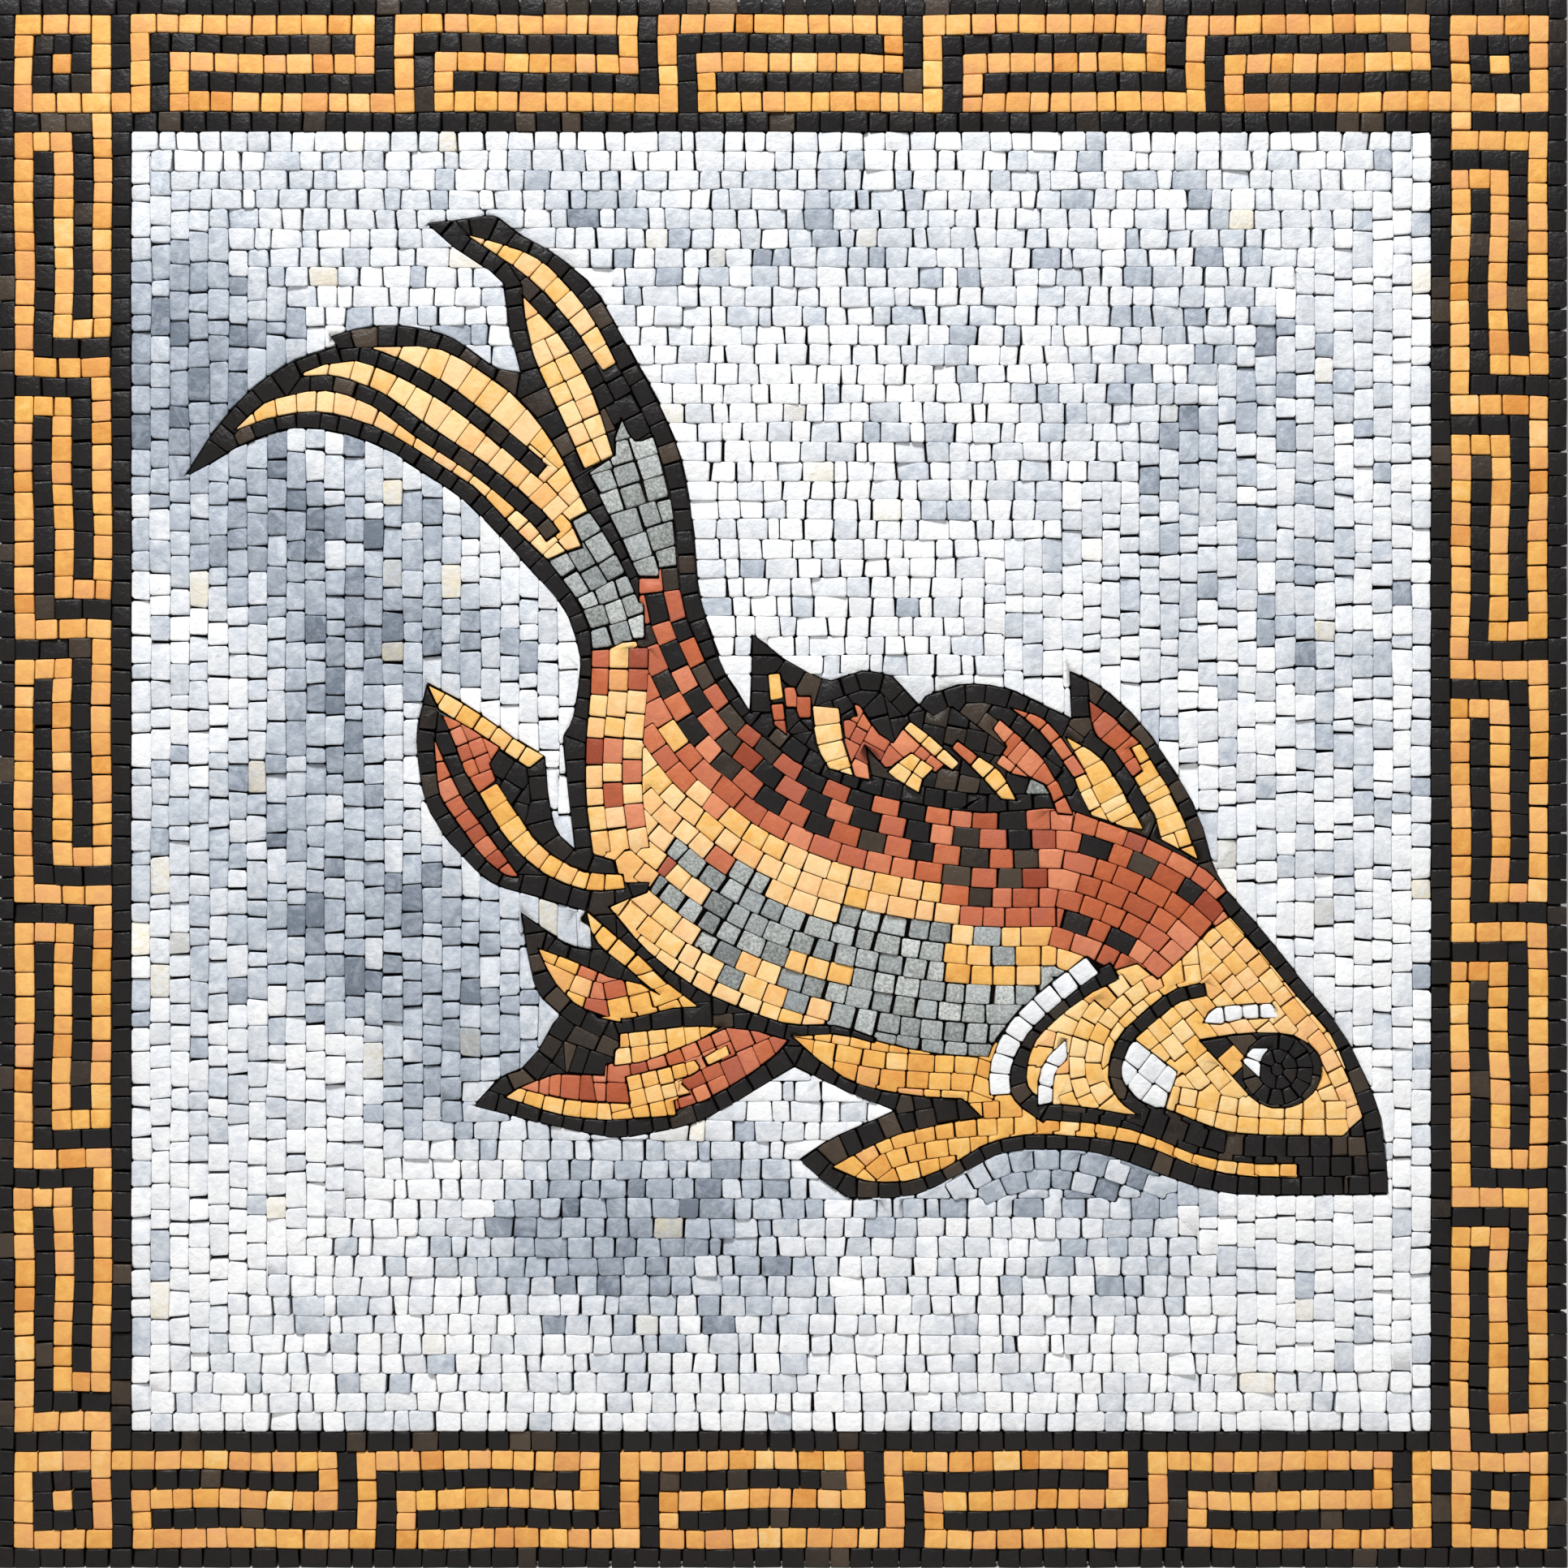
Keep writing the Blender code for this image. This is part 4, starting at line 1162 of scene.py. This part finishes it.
def stone_tree():
    """Geometry Nodes that turn each face of a plan into a closed block with worn edges."""
    tree = bpy.data.node_groups.new("tesserae", "GeometryNodeTree")
    face = tree.interface
    face.new_socket("Geometry", in_out="INPUT", socket_type="NodeSocketGeometry")
    edge_drop, roughness = OTHER_FACE
    for name, value in (("Depth", BED - FRONT), ("Edge Drop", edge_drop), ("Roughness", roughness)):
        face.new_socket(name, in_out="INPUT", socket_type="NodeSocketFloat").default_value = value
    face.new_socket("Stone", in_out="INPUT", socket_type="NodeSocketMaterial")
    face.new_socket("Geometry", in_out="OUTPUT", socket_type="NodeSocketGeometry")

    def add(kind, settings=None, inputs=None):
        node = tree.nodes.new(kind)
        for key, value in (settings or {}).items():
            setattr(node, key, value)
        for key, value in (inputs or {}).items():
            if isinstance(value, bpy.types.NodeSocket):
                tree.links.new(value, node.inputs[key])
            else:
                node.inputs[key].default_value = value
        return node

    def maths(operation, a, b):
        return add("ShaderNodeMath", {"operation": operation}, {0: a, 1: b}).outputs[0]

    def vectors(operation, a, b, output=0):
        return add("ShaderNodeVectorMath", {"operation": operation}, {0: a, 1: b}).outputs[output]

    def stored(name, kind):
        return add("GeometryNodeInputNamedAttribute", {"data_type": kind}, {"Name": name}).outputs[0]

    group = add("NodeGroupInput").outputs
    drop = maths("MULTIPLY", group["Edge Drop"], stored("drop", "FLOAT"))
    height = maths("SUBTRACT", maths("SUBTRACT", group["Depth"], stored("low", "FLOAT")), drop)
    block = add("GeometryNodeExtrudeMesh", {"mode": "FACES"},
                {"Mesh": group["Geometry"], "Offset Scale": height, "Individual": True})
    mesh, top = block.outputs["Mesh"], block.outputs["Top"]
    rounded = []
    for share, power in ROUNDING:
        ring = add("GeometryNodeExtrudeMesh", {"mode": "FACES"},
                   {"Mesh": mesh, "Selection": top, "Offset Scale": maths("MULTIPLY", drop, share),
                    "Individual": True})
        shrink = maths("POWER", stored("shrink", "FLOAT"), power)
        scaled = add("GeometryNodeScaleElements", {"domain": "FACE"},
                     {"Geometry": ring.outputs["Mesh"], "Selection": ring.outputs["Top"], "Scale": shrink})
        mesh, top = scaled.outputs["Geometry"], ring.outputs["Top"]
        rounded.append(ring.outputs["Side"])
    place = add("GeometryNodeInputPosition").outputs[0]
    arm = vectors("SUBTRACT", place, stored("middle", "FLOAT_VECTOR"))
    lift = vectors("DOT_PRODUCT", arm, stored("slope", "FLOAT_VECTOR"), "Value")
    forward = add("ShaderNodeSeparateXYZ", None, {0: place}).outputs["Y"]
    raised = add("FunctionNodeCompare", {"data_type": "FLOAT", "operation": "LESS_THAN"},
                 {0: forward, 1: BED - FOOT}).outputs[0]
    grain = add("ShaderNodeTexNoise", {"noise_dimensions": "3D"},
                {"Vector": place, "Scale": GRAIN_SCALE, "Detail": 1.0})
    wobble = vectors("SUBTRACT", grain.outputs["Color"], (0.5, 0.5, 0.5))
    wobble = vectors("MULTIPLY", wobble, (1.0, 0.0, 1.0))
    wobble = add("ShaderNodeVectorMath", {"operation": "SCALE"},
                 {0: wobble, "Scale": group["Roughness"]}).outputs[0]
    offset = vectors("ADD", wobble, add("ShaderNodeCombineXYZ", None, {"Y": lift}).outputs[0])
    tilted = add("GeometryNodeSetPosition", None,
                 {"Geometry": mesh, "Selection": raised, "Offset": offset}).outputs[0]
    either = top
    for ring in rounded:
        either = add("FunctionNodeBooleanMath", {"operation": "OR"}, {0: either, 1: ring}).outputs[0]
    smoothed = add("GeometryNodeSetShadeSmooth", {"domain": "FACE"},
                   {"Geometry": tilted, "Selection": either, "Shade Smooth": True}).outputs[0]
    back = add("GeometryNodeFlipFaces", None, {"Mesh": group["Geometry"]}).outputs[0]
    joined = add("GeometryNodeJoinGeometry")
    tree.links.new(back, joined.inputs[0])
    tree.links.new(smoothed, joined.inputs[0])
    closed = add("GeometryNodeMergeByDistance", None,
                 {"Geometry": joined.outputs[0], "Distance": WELD}).outputs[0]
    real = add("GeometryNodeRealizeInstances", None, {"Geometry": closed}).outputs[0]
    coated = add("GeometryNodeSetMaterial", None, {"Geometry": real, "Material": group["Stone"]}).outputs[0]
    add("NodeGroupOutput", None, {"Geometry": coated})
    return tree


TESSERAE = stone_tree()
print("the block tree has", len(TESSERAE.nodes), "nodes")

# %% [markdown]
# ## Finishes
#
# The stones are white veined marble, golden and terracotta limestone, a speckled grey stone and black
# marble. All are split or rubbed dull, so nothing shines much. Each kind is one material. A stone's
# own tone comes from its face, and a noise pattern read at the object's coordinates adds veins,
# clouds or specks. A random shift for each stone keeps a pattern from running on across a joint.
# Small classes keep the shader maths readable.

# %% Shader maths
def linear(colour):
    """An sRGB colour from 0 to 255 as the linear one that a shader takes."""
    return (*[c / 255 / 12.92 if c <= 10 else ((c / 255 + 0.055) / 1.055) ** 2.4 for c in colour], 1.0)


class Number:
    """A number in a shader. Python's own operators add the Math nodes."""

    def __init__(self, finish, socket):
        self.finish = finish
        self.socket = socket

    def maths(self, operation, a, b):
        return self.finish.number("ShaderNodeMath", {"operation": operation}, {0: a, 1: b})

    def __add__(self, other):
        return self.maths("ADD", self, other)

    def __sub__(self, other):
        return self.maths("SUBTRACT", self, other)

    def __mul__(self, other):
        return self.maths("MULTIPLY", self, other)

    def __truediv__(self, other):
        return self.maths("DIVIDE", self, other)

    def __radd__(self, other):
        return self.maths("ADD", other, self)

    def __rsub__(self, other):
        return self.maths("SUBTRACT", other, self)

    def __rmul__(self, other):
        return self.maths("MULTIPLY", other, self)

    def __abs__(self):
        return self.maths("ABSOLUTE", self, 0.0)

    def fraction(self):
        return self.maths("FRACT", self, 0.0)

    def clipped(self):
        return self.finish.number("ShaderNodeClamp", {}, {"Value": self})


# %% A material and its nodes
class Finish:
    """A material, with one method that adds any node."""

    def __init__(self, name):
        self.material = bpy.data.materials.new(name)
        self.material.use_nodes = True
        self.tree = self.material.node_tree
        self.shader = self.tree.nodes["Principled BSDF"]

    def node(self, kind, settings, inputs):
        node = self.tree.nodes.new(kind)
        for key, value in settings.items():
            if key == "stops":
                for stop, (position, colour) in zip(self.stops(node, len(value)), value):
                    stop.position = position
                    stop.color = colour
            else:
                setattr(node, key, value)
        for key, value in inputs.items():
            self.feed(node.inputs[key], value)
        return node

    def stops(self, node, count):
        for _ in range(count - 2):
            node.color_ramp.elements.new(0.5)
        return node.color_ramp.elements

    def feed(self, socket, value):
        if isinstance(value, Number):
            value = value.socket
        if isinstance(value, bpy.types.NodeSocket):
            self.tree.links.new(value, socket)
        else:
            socket.default_value = value

    def number(self, kind, settings, inputs, output=0):
        return Number(self, self.node(kind, settings, inputs).outputs[output])

    def stored(self, name, output="Fac"):
        return self.node("ShaderNodeAttribute", {"attribute_name": name}, {}).outputs[output]

    def place(self):
        """The object's own coordinates, shifted for each stone."""
        here = self.node("ShaderNodeTexCoord", {}, {}).outputs["Object"]
        return self.node("ShaderNodeVectorMath", {"operation": "ADD"},
                         {0: here, 1: self.stored("seed", "Vector")}).outputs[0]

    def noise(self, place, scale, detail=3.0, distortion=0.0):
        return self.number("ShaderNodeTexNoise", {},
                           {"Vector": place, "Scale": scale, "Detail": detail, "Distortion": distortion})

    def ramp(self, value, *stops):
        return self.node("ShaderNodeValToRGB", {"stops": [(p, linear(c)) for p, c in stops]},
                         {"Fac": value}).outputs["Color"]

    def mixed(self, share, a, b):
        return self.node("ShaderNodeMix", {"data_type": "RGBA"}, {0: share, 6: a, 7: b}).outputs[2]

    def bump(self, height, strength, distance):
        normal = self.node("ShaderNodeBump", {},
                           {"Height": height, "Strength": strength, "Distance": distance}).outputs[0]
        self.feed(self.shader.inputs["Normal"], normal)


# %% White marble
def white_marble():
    """White to slate grey marble, with soft veins and a few yellow stains."""
    stone = Finish("white_marble")
    place = stone.place()
    clouds = stone.noise(place, 190.0, 4.0, 0.8)
    vein = (1.0 - abs(stone.noise(place, 95.0, 5.0, 1.6) - 0.5) * 9.0).clipped()
    grain = stone.noise(place, 1700.0, 2.0)
    tone = Number(stone, stone.stored("tone"))
    depth = (tone + (clouds - 0.5) * 0.55 + vein * (tone * 0.16 + 0.04) + (grain - 0.5) * 0.16).clipped()
    colour = stone.ramp(depth, (0.0, (231, 232, 234)), (0.25, (206, 210, 216)),
                        (0.55, (163, 172, 184)), (1.0, (100, 110, 124)))
    warm = (Number(stone, stone.stored("warm")) * (clouds * 1.6 - 0.3)).clipped()
    colour = stone.mixed(warm, colour, linear((226, 212, 178)))
    stone.feed(stone.shader.inputs["Base Color"], colour)
    stone.feed(stone.shader.inputs["Roughness"], 0.42 + grain * 0.25)
    stone.bump(grain * 0.25 + stone.noise(place, 420.0, 3.0, 0.3), 0.7, 0.0009)
    return stone.material


# %% Coloured limestones
def limestone(name, stops, blush, mottling=0.30, specks=0.10, rough=0.55, bumps=0.35, shine=0.4):
    """A matt stone whose colour runs over the stops, with a blush on some pieces."""
    stone = Finish(name)
    place = stone.place()
    clouds = stone.noise(place, 210.0, 4.0, 0.5)
    grain = stone.noise(place, 1050.0, 2.0)
    tone = Number(stone, stone.stored("tone"))
    depth = (tone + (clouds - 0.5) * mottling + (grain - 0.5) * specks).clipped()
    colour = stone.ramp(depth, *stops)
    warm = (Number(stone, stone.stored("warm")) * 0.8 * clouds).clipped()
    colour = stone.mixed(warm, colour, linear(blush))
    stone.feed(stone.shader.inputs["Base Color"], colour)
    stone.feed(stone.shader.inputs["Roughness"], rough + (grain - 0.5) * 0.2)
    stone.shader.inputs["Specular IOR Level"].default_value = shine
    stone.bump(grain * 0.25 + stone.noise(place, 420.0, 3.0, 0.3), bumps, 0.0008)
    return stone.material


FINISHES = {
    "white": white_marble(),
    "gold": limestone("golden_limestone",
                      ((0.0, (233, 203, 148)), (0.45, (226, 174, 88)), (1.0, (202, 132, 50))),
                      (226, 168, 132), mottling=0.85, specks=0.25, bumps=0.5),
    "red": limestone("terracotta_limestone",
                     ((0.0, (210, 132, 92)), (0.5, (180, 90, 48)), (1.0, (138, 54, 24))),
                     (182, 106, 88), mottling=0.45, specks=0.25, bumps=0.5),
    "grey": limestone("speckled_greenstone",
                      ((0.0, (90, 95, 94)), (0.5, (150, 154, 151)), (1.0, (208, 211, 208))),
                      (148, 157, 163), mottling=0.4, specks=1.5, rough=0.65, bumps=0.8),
    "black": limestone("black_marble",
                       ((0.0, (11, 9, 9)), (0.45, (24, 18, 16)), (1.0, (72, 60, 48))),
                       (22, 20, 22), mottling=0.4, specks=0.3, rough=0.46, bumps=0.55, shine=0.28),
}
print(len(FINISHES), "kinds of stone finished")

# %% [markdown]
# ## Building the pieces
#
# All stones of one colour in one part of the panel make one piece, and the white field makes two: its
# rows and its columns. One piece for each stone would be thousands of objects, and one for the whole
# panel would have too many triangles. The tree is run once on each piece's plan, and the result is
# kept as a plain mesh.

# %% Gather the stones
# Single stones of another colour, as places on the photograph in pixels.
SINGLE_STONES_PX = {
    "black": ((1355, 1035), (1415, 1065), (1470, 1100), (1175, 1085), (1240, 1090), (1210, 1115),
              (1315, 1125), (1370, 1150)),
    "red": ((742, 812), (740, 845), (735, 912), (760, 912), (783, 942), (760, 977), (783, 1007),
            (819, 1060), (893, 985), (904, 1057)),
    "gold": ((817, 905), (1531, 1305)),
    "grey": ((1278, 973), (1241, 1169)),
}
# The checker: how many rows, how far along the back, and how many of its black squares are black.
CHECKER_ROWS = 3
CHECKER_END_PX = 1300
CHECKER_SHARE = 0.94


def colour_of(outline, facts):
    """The area's colour, or the odd stone's own, or black on the chequered part of the back."""
    if "area" in facts:
        for colour, spots in SINGLE_STONES_PX.items():
            if inside(from_px(spots), [outline]).any():
                return colour
    if facts.get("area") == "back_red" and facts.get("guide") == "back":
        row, column = facts["row"], facts["column"]
        before_end = to_px(outline.mean(axis=0))[0] < CHECKER_END_PX
        if row < CHECKER_ROWS and before_end and (row + column) % 2 == 0:
            return "black" if chance.random() < CHECKER_SHARE else "red"
    return facts.get("colour", "white")


pieces = {}
for part, stones in (("field", field_stones), ("border", border_stones), ("fish", fish_stones)):
    for outline, along, facts in stones:
        colour = colour_of(outline, facts)
        plan = shaped(outline, along, colour)
        if plan is None:
            continue
        name = facts.get("piece", f"{part}_{colour}")
        if part == "field" and "piece" not in facts:
            name = "field_columns"
        pieces.setdefault(name, []).append((plan, colour, *tone_of(colour, plan.mean(axis=0), facts)))


# %% Build the pieces
def built(name, stones):
    """One piece of the panel as a plain mesh."""
    plan = bpy.data.objects.new(name + "_plan", plan_mesh(name + "_plan", stones))
    bpy.context.scene.collection.objects.link(plan)
    modifier = plan.modifiers.new("tesserae", "NODES")
    modifier.node_group = TESSERAE
    inputs = {item.name: item.identifier for item in TESSERAE.interface.items_tree
              if item.item_type == "SOCKET" and item.in_out == "INPUT"}
    colour = stones[0][1]
    edge_drop, roughness = WHITE_FACE if colour == "white" else OTHER_FACE
    modifier[inputs["Edge Drop"]] = edge_drop
    modifier[inputs["Roughness"]] = roughness
    modifier[inputs["Stone"]] = FINISHES[colour]
    bpy.context.view_layer.update()
    shown = plan.evaluated_get(bpy.context.evaluated_depsgraph_get())
    mesh = bpy.data.meshes.new_from_object(shown, preserve_all_data_layers=True,
                                           depsgraph=bpy.context.evaluated_depsgraph_get())
    mesh.name = name
    piece = bpy.data.objects.new(name, mesh)
    bpy.context.scene.collection.objects.link(piece)
    bpy.data.objects.remove(plan, do_unlink=True)
    return piece


PIECE_NODES = {
    "field_rows": ["field_white"],
    "field_columns": ["field_white"],
    "border_black": [n for n in frame["nodes"] if n.startswith(("border_black", "corner_black"))],
    "border_gold": [n for n in frame["nodes"] if n.startswith(("border_key", "corner_gold"))],
}
for name in FISH_NODES:
    PIECE_NODES.setdefault("fish_" + SLOT_OF[name].split("_")[0], []).append(name)
total = 0
for name, stones in sorted(pieces.items()):
    piece = built(name, stones)
    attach(piece, "root")
    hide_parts(*PIECE_NODES[name])
    stones[0][1] + "_stone"
    triangles = sum(len(face.vertices) - 2 for face in piece.data.polygons)
    total += triangles
    print(name, len(stones), "stones,", triangles, "triangles")
print("all stones:", total, "triangles")

# %% [markdown]
# ## The mesh backing
#
# The stones stand on glass-fibre mesh soaked in adhesive. It shows as the dark bottom of the joints,
# and as a woven sheet on the back. Strands could be modelled one by one, but they are thin and flat,
# so the weave is drawn by the material and raised with a bump.

# %% Finish the backing
STRAND_PITCH = 0.005
STRAND_WIDTH = 0.0012
# The front of the backing is dark from this far before its back, and fully so a little further on.
DARK_FROM = 0.001
DARK_OVER = 0.0005
ADHESIVE = (52, 40, 34)
backing = Finish("glass_fibre_mesh")
here = backing.node("ShaderNodeTexCoord", {}, {}).outputs["Object"]
place = backing.node("ShaderNodeSeparateXYZ", {}, {0: here}).outputs
strands = []
for axis in ("X", "Z"):
    cell = (Number(backing, place[axis]) / STRAND_PITCH).fraction()
    strands.append((1.0 - abs(cell - 0.5) * (STRAND_PITCH / STRAND_WIDTH)).clipped())
strand = strands[0].maths("MAXIMUM", strands[0], strands[1])
blotch = backing.noise(here, 60.0, 4.0)
weave = (strand * 0.75 + blotch * 0.5).clipped()
weave_colour = backing.ramp(weave, (0.15, (150, 146, 136)), (0.45, (178, 174, 165)), (0.9, (232, 230, 224)))
front = (Number(backing, place["Y"]) * (-1 / DARK_OVER) - DARK_FROM / DARK_OVER).clipped()
backing.feed(backing.shader.inputs["Base Color"],
             backing.mixed(front, weave_colour, linear(ADHESIVE)))
backing.shader.inputs["Roughness"].default_value = 0.8
backing.bump(strand + blotch * 0.4, 0.8, 0.0006)
mesh_sheet = frame["nodes"]["mesh_backing"]
mesh_sheet.data.materials.clear()
mesh_sheet.data.materials.append(backing.material)
print("backing finished")

# %% [markdown]
# ## Floor, light and camera
#
# The panel stands on a plain pale floor. One soft lamp shines on it from above and a little from the
# left, so every stone has a bright upper edge and a dark joint below, and a dim even sky fills the
# shadows. The camera looks straight at the face, as in the photograph, whose frame just holds the
# panel.

# %% Stage
SPAN = 3.0
PALE_PAINT = (226, 224, 220)
floor_mesh = bpy.data.meshes.new("floor")
floor_mesh.from_pydata([(-SPAN, -SPAN, -PANEL_HALF), (SPAN, -SPAN, -PANEL_HALF),
                        (SPAN, SPAN, -PANEL_HALF), (-SPAN, SPAN, -PANEL_HALF)], [], [(0, 1, 2, 3)])
floor = bpy.data.objects.new("floor", floor_mesh)
bpy.context.scene.collection.objects.link(floor)
floor_paint = Finish("pale_floor")
floor_paint.shader.inputs["Base Color"].default_value = linear(PALE_PAINT)
floor_paint.shader.inputs["Roughness"].default_value = 0.8
floor_mesh.materials.append(floor_paint.material)

# %% Light
SKY_STRENGTH = 0.36
LAMP_PLACE = (-0.35, -1.75, 2.35)
LAMP_SIDE = 0.55
LAMP_WATTS = 96.0
scene = bpy.context.scene
scene.view_settings.view_transform = "Standard"
world = bpy.data.worlds.new("studio")
world.use_nodes = True
world.node_tree.nodes["Background"].inputs["Color"].default_value = (1.0, 1.0, 1.0, 1.0)
world.node_tree.nodes["Background"].inputs["Strength"].default_value = SKY_STRENGTH
scene.world = world


def lamp(name, place, size, watts):
    """A square soft light that faces the panel."""
    light = bpy.data.lights.new(name, "AREA")
    light.size = size
    light.energy = watts
    holder = bpy.data.objects.new(name, light)
    holder.location = place
    holder.rotation_euler = (Vector((0, 0, 0)) - Vector(place)).to_track_quat("-Z", "Y").to_euler()
    scene.collection.objects.link(holder)


lamp("key_light", LAMP_PLACE, LAMP_SIDE, LAMP_WATTS)
print("lights set")

# %% Camera
LENS_MM = 85
SENSOR_MM = 36
CAMERA_DISTANCE = 1.435
CAMERA_CENTRE_PX = (966, 966)
camera = bpy.data.cameras.new("camera")
camera.lens = LENS_MM
camera.sensor_width = SENSOR_MM
camera.sensor_fit = "HORIZONTAL"
eye = bpy.data.objects.new("camera", camera)
centre = from_px([CAMERA_CENTRE_PX])[0]
eye.location = (centre[0], FRONT - CAMERA_DISTANCE, centre[1])
eye.rotation_euler = (math.pi / 2, 0, 0)
scene.collection.objects.link(eye)
scene.camera = eye
